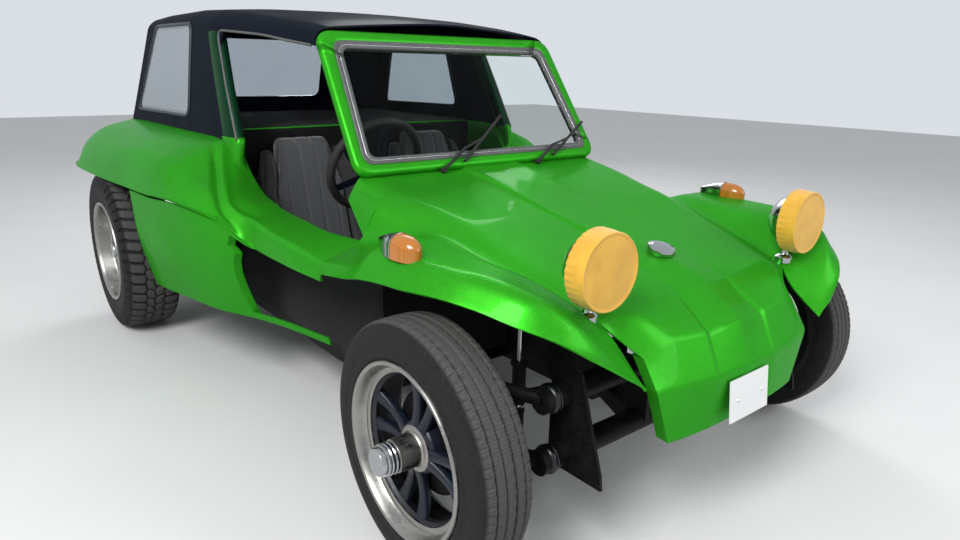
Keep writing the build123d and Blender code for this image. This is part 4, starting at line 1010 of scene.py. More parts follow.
def road_tread(angle, across):
    """Depth cut into a road tyre: four waved grooves and short shoulder slots."""
    wave = 0.0004 * np.sin(angle * 72)
    groove = sum(bell(across + wave, at, 0.0026, 4) for at in (-0.036, -0.0125, 0.0125, 0.036))
    slot = step_between(np.cos(angle * 96), 0.72, 0.9) * step_between(np.abs(across), 0.041, 0.044)
    slot = slot * (1 - step_between(np.abs(across), 0.055, 0.059))
    return 0.0065 * np.clip(groove, 0, 1) + 0.0022 * slot


BLOCKS = 46


def block_tread(angle, across):
    """Depth cut into a wide tyre: staggered blocks in four rows with open shoulders."""
    a = np.abs(across)
    row = np.where(a < 0.034, 0, 1)
    pitch = angle * BLOCKS / (2 * pi) + np.where(across > 0, 0.25, 0.0) + row * 0.5 + a * 5.0
    gap = np.abs((pitch % 1.0) - 0.5) * 2
    cross = step_between(gap, 0.66, 0.82) * np.where(row == 0, 0.8, 1.0)
    turn = np.sin(angle * BLOCKS)
    zig = 0.0030 * np.sign(turn) * step_between(np.abs(turn), 0.1, 0.5)
    rings = sum(bell(across + zig, at, 0.0036, 4) for at in (-0.034, 0.0, 0.034))
    return 0.009 * np.clip(np.maximum(cross, rings), 0, 1)


def tyre_piece(name, side, x, y, radius, half, rim_half, wide):
    """Tyre: its section turned about the axle, with the tread cut in along the normal."""
    count, steps = (50, 540) if wide else (46, 576)
    one = tyre_section(radius, half, rim_half, count)
    section = np.concatenate([one, (one * (1, -1))[-2::-1]])
    tangent = np.gradient(section, axis=0)
    normal = np.stack([-tangent[:, 1], tangent[:, 0]], -1)
    normal /= np.linalg.norm(normal, axis=1)[:, None]
    normal *= np.where(normal[:, 0] < 0, -1, 1)[:, None]
    angle = circle(steps)[:, None]
    rise = (section[:, 0] - BEAD_RADIUS) / (radius - BEAD_RADIUS)
    if wide:
        depth = block_tread(angle, section[:, 1][None]) * step_between(rise, 0.60, 0.66)[None]
        stripe = 0.0012 * step_between(np.sin(angle * 60), 0.2, 0.6) * bell(rise, 0.52, 0.05, 4)[None]
    else:
        depth = road_tread(angle, section[:, 1][None]) * step_between(rise, 0.86, 0.92)[None]
        stripe = 0 * depth
    rings = 0.0011 * bell(rise, 0.16, 0.018) + 0.0009 * bell(rise, 0.36, 0.012)
    move = rings[None] + stripe - depth
    r = section[:, 0][None] + move * normal[:, 0][None]
    o = section[:, 1][None] + move * normal[:, 1][None]
    grid = np.stack([x + r * np.sin(angle), side * y + o + 0 * angle, radius + r * np.cos(angle)], -1)
    finish = "rear_tread" if wide else "front_tread"
    shape = join_grids([(grid, True, True, False)])
    tyre = make_piece(f"{name}_tyre_tread", *shape, finish, f"wheel_{name}", slot="tyre_rubber", sharp=50)
    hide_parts(f"{name}_tyre")


def wheel_turning(name, word, profile, steps, place, finish, slot, sharp, wrap=False):
    """One turned piece of a wheel: its profile of (radius, offset outwards) spun about the axle."""
    x, side, y, radius = place
    ring = spun(np.array(profile) * (1, side), steps, (x, side * y, radius))
    shape = join_grids([(ring, side > 0, True, wrap)])
    return make_piece(f"{name}_{word}", *shape, finish, f"wheel_{name}", slot=slot, sharp=sharp)


def lip_profile(lip, face):
    """Rolled lip, flat band, smooth well and the step at the spokes, as (radius, offset)
    of a closed ring."""
    return [
        (0.2085, lip - 0.010), (0.2085, lip - 0.003), (0.2065, lip), (0.1985, lip - 0.0010),
        (0.1962, lip - 0.0035),
        (0.1938, lip - 0.014), (0.1905, face + 0.019), (0.1885, face + 0.0125), (0.1868, face + 0.0110),
        (0.1770, face + 0.0102),
        (0.1742, face + 0.0080), (0.1738, face + 0.0010), (0.1870, face + 0.0010), (0.1925, face + 0.016),
        (0.1968, lip - 0.016),
        (0.2050, lip - 0.012),
    ]


def barrel_profile(lip, face):
    """Dish behind the spokes and the back edge, as (radius, offset) of a closed ring."""
    return [
        (0.1860, face + 0.006), (0.1750, face + 0.004), (0.168, face - 0.004), (0.168, face - 0.016),
        (0.172, face - 0.022),
        (0.180, face - 0.026), (0.182, -lip + 0.022), (0.196, -lip + 0.006), (0.2085, -lip + 0.002),
        (0.2085, -lip + 0.012),
        (0.191, -lip + 0.016), (0.190, face - 0.010),
    ]


def spoke_grid(angle, centre, side, face):
    """One slim spoke: a rounded section carried out from the hub and dished to the rim."""
    s = np.linspace(0, 1, 14)[:, None]
    t = circle(16)[None]
    r = 0.046 + 0.128 * s
    half = 0.0150 - 0.003 * np.sin(s * pi) + 0.005 * s**4
    tall = 0.013 - 0.003 * s
    w = half * np.sign(np.cos(t)) * np.abs(np.cos(t)) ** 0.6
    h = tall * np.sign(np.sin(t)) * np.abs(np.sin(t)) ** 0.6
    o = face - 0.012 - 0.010 * np.sin(s * pi) + h
    r = r + 0 * t
    x = centre[0] + r * sin(angle) + w * cos(angle)
    z = centre[2] + r * cos(angle) - w * sin(angle)
    return np.stack([x, centre[1] + side * o, z], -1)


SPOKE_PAIRS, PAIR_TURN, PAIR_LEAN = 4, 8, 13


def rim_pieces(name, side, x, y, radius, lip, face):
    """Lip and dish turned about the axle, and four pairs of spokes on a round plate."""
    centre = (x, side * y, radius)
    place = (x, side, y, radius)
    # The dish's dark finish is painted shade behind the spokes.
    for word, profile, finish in (
        ("lip", lip_profile, "polished_alloy"), ("dish", barrel_profile, "barrel_alloy")
    ):
        thing = wheel_turning(name, word, profile(lip, face), 128, place, finish, "polished_alloy", 35, True)
        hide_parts(f"{name}_rim")
    plate = [
        (0.0, face - 0.004), (0.044, face - 0.004), (0.052, face - 0.006), (0.060, face - 0.010),
        (0.063, face - 0.016), (0.063, face - 0.034), (0.0, face - 0.034),
    ]
    grids = [(spun(np.array(plate) * (1, side), 64, centre), side > 0, True, False)]
    for k in range(SPOKE_PAIRS):
        for lean in (-PAIR_LEAN, PAIR_LEAN):
            angle = radians(90 * k + PAIR_TURN + lean)
            grids.append((spoke_grid(angle, centre, side, face), side > 0, False, True))
    shape = join_grids(grids)
    # The spokes' blue tint is painted reflection of the sky.
    spokes = make_piece(
        f"{name}_spokes", *shape, "spoke_paint", f"wheel_{name}", slot="polished_alloy", sharp=40
    )
    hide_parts(f"{name}_rim")


def hub_pieces(name, side, x, y, radius, face, reach):
    """Stepped bright cap with a grooved band, its neck and the drum behind."""
    place = (x, side, y, radius)
    cap = [
        (0.0, reach), (0.026, reach), (0.0305, reach - 0.001), (0.032, reach - 0.004),
        (0.0325, reach - 0.014), (0.0355, reach - 0.016),
        (0.036, reach - 0.020), (0.0345, reach - 0.0225), (0.036, reach - 0.025), (0.036, reach - 0.030),
        (0.0345, reach - 0.0325),
        (0.036, reach - 0.035), (0.0355, reach - 0.040), (0.0322, reach - 0.0415), (0.0, reach - 0.0415),
    ]
    neck = [
        (0.0, reach - 0.040), (0.0325, reach - 0.040), (0.0330, reach - 0.043), (0.0345, reach - 0.0445),
        (0.0375, reach - 0.0450), (0.0395, face + 0.0065),
        (0.0425, face + 0.003), (0.0500, face + 0.0015), (0.0535, face - 0.001), (0.0540, face - 0.010),
        (0.0, face - 0.010),
    ]
    # The cap's dimmed plating is painted dark reflection.
    shell = wheel_turning(name, "cap", cap, 64, place, "worn_plate", "chrome", 30)
    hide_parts(f"{name}_hub")
    wheel_turning(name, "neck", neck, 64, place, "polished_alloy", "chrome", 30)
    back = face - 0.034
    drum = [
        (0.0, back), (0.070, back), (0.108, back - 0.004), (0.121, back - 0.010), (0.125, back - 0.022),
        (0.121, back - 0.026), (0.125, back - 0.030), (0.125, back - 0.044), (0.118, back - 0.048),
        (0.0, back - 0.048),
    ]
    shoe = wheel_turning(name, "drum", drum, 72, place, "chassis_black", None, 35)
    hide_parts(f"{name}_hub")


# ---------------------------------------------------------------- lamps and small parts

LAMP = (FRONT_AXLE + 0.205, 0.412, 0.712)
POST_FOOT = 0.585


def headlamp_pieces():
    """Bowl, rim, post and foot of each lamp, and its stretched fabric cover."""
    bowl = [
        (0.0, -0.052), (0.018, -0.050), (0.036, -0.042), (0.056, -0.026), (0.070, -0.006), (0.0785, 0.016),
        (0.0805, 0.026), (0.0845, 0.028), (0.086, 0.033), (0.0845, 0.038), (0.078, 0.040), (0.0, 0.040),
    ]
    post = np.array([
        (0.0, POST_FOOT), (0.024, POST_FOOT), (0.024, 0.600), (0.021, 0.604), (0.0125, 0.608),
        (0.0095, 0.616),
        (0.0088, 0.640), (0.0095, 0.655), (0.014, 0.662), (0.0, 0.668),
    ]) + (0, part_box("headlamps")[0][2] - POST_FOOT)
    for word, side in SIDES:
        x, y, z = LAMP[0], side * LAMP[1], LAMP[2]
        grids = [
            (spun(bowl, 64, (x, y, z), "X"), True, True, False),
            (spun(post, 32, (x, y, 0), "Z"), True, True, False),
        ]
        # The lamp's dimmed plating is painted dark reflection.
        lamp = make_piece(f"headlamp_{word}", *join_grids(grids), "worn_plate", slot="chrome", sharp=35)
        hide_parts("headlamps")
        cover = closed_ends(cover_grid(x, y, z).transpose(1, 0, 2))
        cloth = solid_piece(f"lamp_cover_{word}", [(cover, False)], "yellow_cloth")
        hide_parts("lamp_covers")


def cover_grid(x, y, z):
    """Round cover: a flat face, a welted seam at its rim and a gathered skirt with a hem."""
    rings = np.array([
        (0.002, 0.0600), (0.02, 0.0599), (0.045, 0.0596), (0.064, 0.0590), (0.0745, 0.0583), (0.0785, 0.0580),
        (0.0805, 0.0592),
        (0.0828, 0.0600), (0.0848, 0.0592), (0.0856, 0.0572), (0.0848, 0.0553), (0.0850, 0.052),
        (0.0862, 0.044), (0.0870, 0.034),
        (0.0872, 0.024), (0.0868, 0.017), (0.0876, 0.0145), (0.0874, 0.0115), (0.0858, 0.0100),
        (0.0842, 0.0115), (0.0840, 0.020), (0.0835, 0.030),
    ])
    a = circle(160)[:, None]
    r, o = rings[:, 0][None], rings[:, 1][None]
    back = step_between(o, 0.050, 0.014)
    folds = 0.0009 * np.sin(a * 34 + 1.3 * np.sin(a * 3)) * back * step_between(r, 0.06, 0.08)
    sag = 0.0008 * np.sin(a * 2 + 0.6) * step_between(r, 0.02, 0.05) * step_between(r, 0.078, 0.07)
    r2 = r + folds
    o2 = o + sag * (o > 0.05)
    return np.stack([x + o2 + 0 * a, y + r2 * np.sin(a), z + r2 * np.cos(a)], -1)


# ---------------------------------------------------------------- hardtop trim

# Columns, mm: distance behind the front axle, then y and z of the side's top and of its foot
SIDE = np.array([
    (880, 470, 1200, 545, 840),
    (1000, 512, 1214, 590, 800),
    (1150, 548, 1230, 628, 700),
    (1310, 570, 1248, 642, 780),
    (1430, 580, 1256, 647, 820),
    (1640, 585, 1262, 653, 840),
    (2050, 583, 1260, 657, 840),
    (2410, 578, 1250, 661, 830),
], float)
SIDE_NORMAL = np.array([0.0, 0.98, 0.2])
DOOR_EDGE = [(1215, 853), (1405, 1216), (1118, 1196), (895, 1163)]
PILLAR_LEAN = (1405 - 1215) / (1216 - 851)
PILLAR_FOOT_Z = 851
QUARTER = [(2300, 908), (2130, 1243), (1670, 1240), (1630, 917)]


def on_side(back, z, out, side):
    """Places on the hardtop's side wall, straight from foot to top at each station, in mm."""
    back, z, out = np.broadcast_arrays(np.asarray(back, float), np.asarray(z, float), np.asarray(out, float))
    top_y, top_z, foot_y, foot_z = (np.interp(back, SIDE[:, 0], SIDE[:, k]) for k in range(1, 5))
    y = foot_y + (top_y - foot_y) * (z - foot_z) / (top_z - foot_z) + out
    return np.stack([FRONT_AXLE - back * MM, side * y * MM, z * MM], -1)


def rounded_quad(corners, grow, corner):
    """Closed outline of a four-cornered opening with round corners, its corners moved out."""
    quad = np.asarray(corners, float)
    quad = quad + np.sign(quad - quad.mean(0)) * grow
    start = (quad[0] + quad[-1]) / 2
    return round_corners(np.vstack([start, quad, start]), corner, 12)


def pillar_piece(word, side):
    """Rounded column behind the door: a bowed section that turns in at the door's edge. Its foot
    sinks into the body, and a rubber seal follows the door's edge."""
    z = np.linspace(858, 1213, 30)[:, None]
    front = 1215 + (z - PILLAR_FOOT_Z) * PILLAR_LEAN
    section = np.array([
        (88, -4), (86, 0.5), (78, 2.5), (62, 5), (44, 6.5), (26, 6.5), (12, 5), (3, 1), (-2, -5), (-4, -13),
        (-3.5, -21), (0, -28), (6, -31), (20, -32), (44, -32), (60, -32), (60, -20), (72, -8),
    ], float)
    grid = on_side(front + section[:, 0], z, section[:, 1], side)
    # The column's green finish is painted sunlight on the hardtop's dark flake coat.
    solid_piece(f"pillar_column_{word}", [(closed_ends(grid), False)], "pillar_green", slot="green_body")
    z = np.linspace(748, 864, 13)[:, None]
    front = 1211 + np.clip(z - PILLAR_FOOT_Z, 0, None) * PILLAR_LEAN
    out = section[:, 1] + 1.5 - 14 * step_between(z, 785, 750)
    foot = on_side(front + section[:, 0] * 1.12, z, out, side)
    solid_piece(f"pillar_foot_{word}", [(closed_ends(foot), False)], "green_body")
    edge = soften(np.array(DOOR_EDGE, float), [0.16, 0.2], 8, 24)
    path = on_side(edge[:, 0], edge[:, 1], 1.0, side)
    normal = np.broadcast_to(SIDE_NORMAL * (1, side, 1), path.shape)
    bead = carried(path, normal, round_section(0.0042))
    solid_piece(f"door_seal_{word}", [(closed_ends(bead), False)], "seal_rubber")


def quarter_frame(word, side):
    """Frame of a quarter window: a raised lip outside the opening and a rebate inside it."""
    inner, outer = rounded_quad(QUARTER, -13, 26)[None], rounded_quad(QUARTER, 12, 34)[None]
    section = np.array([
        (0.0, -9), (0.0, -5.5), (0.12, -3.5), (0.42, -2.5), (0.5, 0.5), (0.56, 4.5), (0.66, 6.0), (0.88, 5.5),
        (0.97, 3.0),
        (1.0, 0.0), (1.0, -3.0), (0.6, -9),
    ])
    flat = inner + (outer - inner) * section[:, 0][:, None, None]
    grid = on_side(flat[..., 0], flat[..., 1], section[:, 1][:, None], side)
    solid_piece(f"quarter_frame_{word}", [(grid, True)], "window_frame", slot="black_body", sharp=50)


# ---------------------------------------------------------------- seats

# Side profiles, mm: distance behind the front axle and z
CUSHION = [(905, 300), (892, 395), (920, 425), (1300, 388), (1340, 300)]
CUSHION_BOLSTER = [(905, 300), (896, 415), (930, 450), (1300, 425), (1340, 300)]
BACKREST = [(1285, 380), (1400, 836), (1418, 850), (1468, 850), (1480, 834), (1385, 300), (1300, 300)]
BACK_BOLSTER = [(1240, 395), (1268, 560), (1350, 730), (1412, 800), (1455, 795), (1400, 395)]
SEAT_Y, SEAT_HALF, BOLSTER = 285, 208, 48
RAIL_Z = 0.252
CLOTH_FRAMES = 20
CHANNELS, CHANNEL_DEPTH, CHANNEL_WIDTH = (-96, -32, 32, 96), 0.006, 0.005


def pad_grid(profile, low, high, middle, inset):
    """A pad: its side profile, drawn in a little, swept across and narrowed towards the top."""
    profile = np.asarray(profile, float)
    centre = profile.mean(0)
    reach = np.linalg.norm(profile - centre, axis=1)[:, None]
    profile = centre + (profile - centre) * (1 - inset / reach)
    steps = np.vstack([profile, profile[:1]])
    length = lengths(steps)
    at = np.linspace(0, length[-1], 96, endpoint=False)
    outline = np.stack([np.interp(at, length, steps[:, k]) for k in (0, 1)], -1)
    y = np.linspace(low + inset, high - inset, 24)[:, None]
    x, z = outline[:, 0][None], outline[:, 1][None]
    narrow = np.interp(z, [660, 800, 860], [1.0, 155 / 208, 128 / 208])
    place = [FRONT_AXLE - x * MM + 0 * y, (middle + y * narrow) * MM, z * MM + 0 * y]
    return closed_ends(np.stack(place, -1))


def stuffed(name, grids, finish, cap):
    """A stuffed pad: remeshed evenly, blown up as cloth, held within a cap of its first
    form and smoothed."""
    pad = solid_piece(name, [(grid, False) for grid in grids], finish, slot="seat_cloth")
    even = pad.modifiers.new("even", "REMESH")
    even.mode = "VOXEL"
    even.voxel_size = 0.007
    apply_modifiers(pad)
    start = read_points(pad)
    cloth = pad.modifiers.new("cloth", "CLOTH")
    settings = cloth.settings
    settings.use_pressure = True
    settings.uniform_pressure_force = 4.0
    settings.effector_weights.gravity = 0.0
    settings.tension_stiffness = settings.compression_stiffness = 15
    settings.bending_stiffness = 2.0
    cloth.point_cache.frame_start, cloth.point_cache.frame_end = 1, CLOTH_FRAMES
    for number in range(1, CLOTH_FRAMES + 1):
        bpy.context.scene.frame_set(number)
    apply_modifiers(pad)
    bpy.context.scene.frame_set(1)
    move = read_points(pad) - start
    far = np.maximum(np.linalg.norm(move, axis=1), 1e-9)[:, None]
    pad.data.vertices.foreach_set("co", (start + move * np.minimum(1, cap / far)).ravel())
    pad.data.update()
    soft = pad.modifiers.new("soft", "SMOOTH")
    soft.iterations = 6
    soft.factor = 0.5
    finer = pad.modifiers.new("finer", "SUBSURF")
    finer.levels = finer.render_levels = 1
    apply_modifiers(pad)
    pad.data.polygons.foreach_set("use_smooth", np.ones(len(pad.data.polygons), bool))
    return pad


def read_points(thing, what="co"):
    """The places of a mesh's vertices, or their normals, as an array."""
    flat = np.zeros(len(thing.data.vertices) * 3)
    thing.data.vertices.foreach_get(what, flat)
    return flat.reshape(-1, 3)


def apply_modifiers(thing):
    """Puts what the modifiers make into the mesh itself."""
    seen = bpy.context.evaluated_depsgraph_get()
    shaped = bpy.data.meshes.new_from_object(
        thing.evaluated_get(seen), preserve_all_data_layers=True, depsgraph=seen
    )
    thing.modifiers.clear()
    thing.data = shaped


def sew_channels(pad, lines):
    """Sewn channels: points near each line across the seat sink in by a bell-shaped depth."""
    points = read_points(pad)
    sunk = np.clip(sum(bell(points[:, 1], line, CHANNEL_WIDTH) for line in lines), 0, 1)
    points = points - read_points(pad, "normal") * (CHANNEL_DEPTH * sunk)[:, None]
    pad.data.vertices.foreach_set("co", points.ravel())
    pad.data.update()


def seat_pieces(word, side):
    """Stuffed cushion and back, each with its raised sides, on two rails."""
    middle = side * SEAT_Y
    wide = SEAT_HALF - BOLSTER
    for part, profile, raised in (("cushion", CUSHION, CUSHION_BOLSTER), ("back", BACKREST, BACK_BOLSTER)):
        inner = [pad_grid(profile, -wide + 2, wide - 2, middle, 7)]
        pad = stuffed(f"seat_{part}_{word}", inner, "seat_cloth", 0.012)
        sew_channels(pad, [(middle + y) * MM for y in CHANNELS])
        sides = [pad_grid(raised, a, b, middle, 5) for a, b in ((-SEAT_HALF, -wide), (wide, SEAT_HALF))]
        rolls = stuffed(f"seat_{part}_sides_{word}", sides, "seat_side", 0.010)
        for thing, fill in ((pad, 0.6), (rolls, 0.75)):
            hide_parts("seats")
    rails = []
    form = [
        (-0.047, -0.012), (-0.043, -0.014), (0.045, -0.014), (0.049, -0.010), (0.049, 0.010), (0.045, 0.014),
        (-0.043, 0.014), (-0.047, 0.012),
    ]
    for offset in (-150, 150):
        x0, x1 = FRONT_AXLE - 1.33, FRONT_AXLE - 0.94
        y = (middle + offset) * MM
        path = np.array([(x, y, RAIL_Z) for x in (x0, x0 + 0.1, x1 - 0.1, x1)])
        rails.append((closed_ends(carried(path, np.broadcast_to((0, 0, 1.0), path.shape), form)), False))
    solid_piece(f"seat_rails_{word}", rails, "chassis_black", sharp=35)


# ---------------------------------------------------------------- steering wheel

WHEEL_AT = (FRONT_AXLE - 0.895, -0.27, 0.785)
WHEEL_TILT = radians(25)
WHEEL_AXES = (
    (0.0, 1.0, 0.0), (-sin(WHEEL_TILT), 0.0, -cos(WHEEL_TILT)), (-cos(WHEEL_TILT), 0.0, sin(WHEEL_TILT))
)


def steering_pieces():
    """Rim with finger grips, three flat spokes with a raised edge, and a padded boss."""
    a, b = circle(192)[:, None], circle(24)[None]
    inside = step_between(-np.cos(b - 0.7), 0.2, 0.9)
    grip = 0.0148 - 0.0012 * inside * (0.5 + 0.5 * np.cos(a * 30))
    r = 0.163 + grip * np.cos(b)
    local = np.stack([r * np.cos(a), r * np.sin(a), grip * np.sin(b) + 0 * a], -1)
    rim = solid_piece(
        "steering_rim", [(placed(local, WHEEL_AT, *WHEEL_AXES), True)], "wheel_grip", "steering_wheel"
    )
    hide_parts("steering_wheel")
    grids = []
    form = np.array([
        (-0.0022, -1.0), (-0.0022, 1.0), (0.0010, 1.0), (0.0030, 0.92), (0.0014, 0.78), (0.0014, -0.78),
        (0.0030, -0.92), (0.0010, -1.0),
    ])
    t = np.linspace(0, 1, 16)
    for turn in (-90, 30, 150):
        c, s = cos(radians(turn)), sin(radians(turn))
        reach = 0.020 + 0.138 * t
        path = np.stack([reach * c, reach * s, -0.020 + 0.020 * t**1.6], -1)
        half = (0.017 - 0.006 * t + 0.003 * t**6)[:, None]
        section = np.stack([np.broadcast_to(form[:, 0], (len(t), len(form))), form[:, 1] * half], -1)
        bar = carried(path, np.broadcast_to((0, 0, 1.0), path.shape), section)
        grids.append((closed_ends(placed(bar, WHEEL_AT, *WHEEL_AXES)), False))
    boss = [
        (0.0005, 0.004), (0.018, 0.0035), (0.025, 0.001), (0.028, -0.004), (0.029, -0.018), (0.026, -0.030),
        (0.022, -0.036), (0.0005, -0.038),
    ]
    boss = spun(boss, 40, (0, 0, 0), "Z").transpose(1, 0, 2)
    grids.append((closed_ends(placed(boss, WHEEL_AT, *WHEEL_AXES)), False))
    # The spokes' and boss's blue tint is painted reflection of the sky.
    solid_piece("steering_spokes", grids, "spoke_paint", "steering_wheel", slot="chassis_black", sharp=35)


# ---------------------------------------------------------------- small fittings

INDICATOR_AT = (FRONT_AXLE - 0.148, 0.652, 0.718)
SKIRT = -0.026


def blister(profile, side):
    """A blister on the wing: half rings of the profile's radius over a straight skirt."""
    profile = np.asarray(profile, float) * MM
    t = np.linspace(0, pi, 25)
    r = profile[:, 1][:, None]
    y, z = r * np.cos(t), r * np.sin(t)
    low = np.full_like(r, SKIRT)
    y = np.concatenate([r, y, -r], 1)
    z = np.concatenate([low, z, low], 1)
    x = np.broadcast_to(profile[:, :1], y.shape)
    return [(
        closed_ends(np.stack([INDICATOR_AT[0] + x, side * INDICATOR_AT[1] + y, INDICATOR_AT[2] + z], -1)),
        False
    )]


def indicator_pieces(word, side):
    """A plated case drawn out to a point behind, and the lens in front of it."""
    case = [
        (-96, 0.3), (-90, 4), (-80, 8.6), (-66, 14), (-50, 20), (-34, 25), (-18, 28.5), (-7, 30), (-5, 31.4),
        (0, 31.4), (0, 29),
    ]
    glass = [
        (0.3, 30), (14, 30), (28, 29.2), (40, 27), (52, 22.4), (60, 17.4), (66, 12), (70, 6.5), (71.8, 0.3)
    ]
    # The case's dimmed plating is painted dark reflection.
    shell = solid_piece(f"indicator_case_{word}", blister(case, side), "worn_plate", slot="chrome", sharp=40)
    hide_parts("indicators")
    front = solid_piece(f"indicator_lens_{word}", blister(glass, side), "amber_lens", sharp=60)
    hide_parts("indicator_lenses")


FILLER_AT = (FRONT_AXLE + 0.080, 0, 0.651)


def filler_piece():
    """Filler cap: a scalloped rim round a low crown, on a short collar."""
    lean = radians(15)
    axes = ((cos(lean), 0, -sin(lean)), (0, 1, 0), (sin(lean), 0, cos(lean)))
    rows = np.array([
        (0.0005, 0.0255), (0.010, 0.0252), (0.020, 0.0240), (0.0262, 0.0222), (0.0285, 0.0204),
        (0.0325, 0.0200), (0.0352, 0.0186),
        (0.0365, 0.0155), (0.0365, 0.0085), (0.0352, 0.0050), (0.0300, 0.0035), (0.0290, -0.004),
        (0.0005, -0.004),
    ])
    a = circle(144)[None]
    r, h = rows[:, :1], rows[:, 1:]
    knurl = 0.0009 * step_between(r, 0.033, 0.036) * (0.5 + 0.5 * np.cos(a * 36))
    local = np.stack([(r - knurl) * np.cos(a), (r - knurl) * np.sin(a), h + 0 * a], -1)
    crown = closed_ends(placed(local, FILLER_AT, *axes))
    # The cap's dimmed plating is painted dark reflection.
    cap = solid_piece("filler_crown", [(crown, False)], "worn_plate", slot="chrome", sharp=35)
    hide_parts("filler_cap")


BEAM_TUBES = (0.410, 0.258)


def suspension_pieces():
    """Bright rods and dark sleeves of the front dampers, and the boots with their nuts at the
    beam's ends: profiles of (radius, offset) turned about their own lines."""
    rod = [
        (0.0, 0.340), (0.0155, 0.340), (0.0175, 0.344), (0.0175, 0.350), (0.0130, 0.353), (0.0062, 0.355),
        (0.0058, 0.358), (0.0058, 0.552), (0.0, 0.556),
    ]
    boot = [
        (0.0, 0.030), (0.0085, 0.030), (0.0095, 0.027), (0.0095, 0.021), (0.0150, 0.019), (0.0160, 0.015),
        (0.0285, 0.012), (0.0340, 0.006), (0.0352, 0.001), (0.0340, -0.004), (0.0318, -0.006),
        (0.0334, -0.009),
        (0.0318, -0.013), (0.0290, -0.014), (0.0, -0.014),
    ]
    sleeve = [
        (0.0, 0.330), (0.0165, 0.330), (0.0165, 0.446), (0.0215, 0.447), (0.0215, 0.452), (0.0120, 0.4535),
        (0.0, 0.4535),
    ]
    rods, boots, sleeves = [], [], []
    for _, side in SIDES:
        damper = (FRONT_AXLE + 0.050, side * 0.458, 0)
        rods.append(spun(rod, 28, damper, "Z"))
        sleeves.append(spun(sleeve, 32, damper, "Z"))
        for z in BEAM_TUBES:
            boots.append(spun(np.array(boot) * (1, side), 32, (FRONT_AXLE + 0.165, side * 0.470, z)))
    for name, grids, finish, slot in (
        # The rods' dimmed plating is painted dark reflection.
        ("damper_rods", rods, "worn_plate", "chrome"),
        ("damper_sleeves", sleeves, "chassis_black", "chassis_black"),
        ("beam_boots", boots, "oiled_steel", "chassis_black"),
    ):
        solid_piece(name, [(grid.transpose(1, 0, 2), False) for grid in grids], finish, slot=slot, sharp=35)


def plate_bolts():
    """Two domed bolts that hold the blank plate."""
    dome = [
        (0.0002, 0.0042), (0.0022, 0.0038), (0.0038, 0.0026), (0.0046, 0.0008), (0.0046, -0.002),
        (0.0002, -0.002),
    ]
    domes = [spun(dome, 20, (FRONT_AXLE + 0.376, y, 0.363), "X").transpose(1, 0, 2) for y in (-0.052, 0.052)]
    solid_piece("plate_bolts", [(closed_ends(bolt), False) for bolt in domes], "chrome", sharp=40)


# ---------------------------------------------------------------- stage and camera

VIEW_AZIMUTH, VIEW_ELEVATION, VIEW_ROLL = radians(50.6755), radians(16.3391), radians(-1.0522)
FOCAL_PIXELS, PHOTO_WIDTH, SENSOR_WIDTH = 693.9624, 960, 36.0
VIEW_FROM = (2.3403, -1.4747, 1.1098)
LAMPS_AIM = (0.1, 0, 0.6)
FLOOR_REACH, FLOOR_LINES = 14.0, 29


def place_camera():
    """The camera where the photograph was taken from, with its roll."""
    data = bpy.data.cameras.new("photo_view")
    data.sensor_width = SENSOR_WIDTH
    data.lens = SENSOR_WIDTH * FOCAL_PIXELS / PHOTO_WIDTH
    view = bpy.data.objects.new("photo_view", data)
    a, e = VIEW_AZIMUTH, VIEW_ELEVATION
    back = Vector((sin(a) * cos(e), -cos(a) * cos(e), sin(e)))
    right = (-back).cross(Vector((0, 0, 1))).normalized()
    up = back.cross(right)
    turned_right = right * cos(VIEW_ROLL) - up * sin(VIEW_ROLL)
    turned_up = up * cos(VIEW_ROLL) + right * sin(VIEW_ROLL)
    turn = Matrix((turned_right, turned_up, back)).transposed()
    view.matrix_world = Matrix.Translation(VIEW_FROM) @ turn.to_4x4()
    bpy.context.scene.collection.objects.link(view)
    bpy.context.scene.camera = view


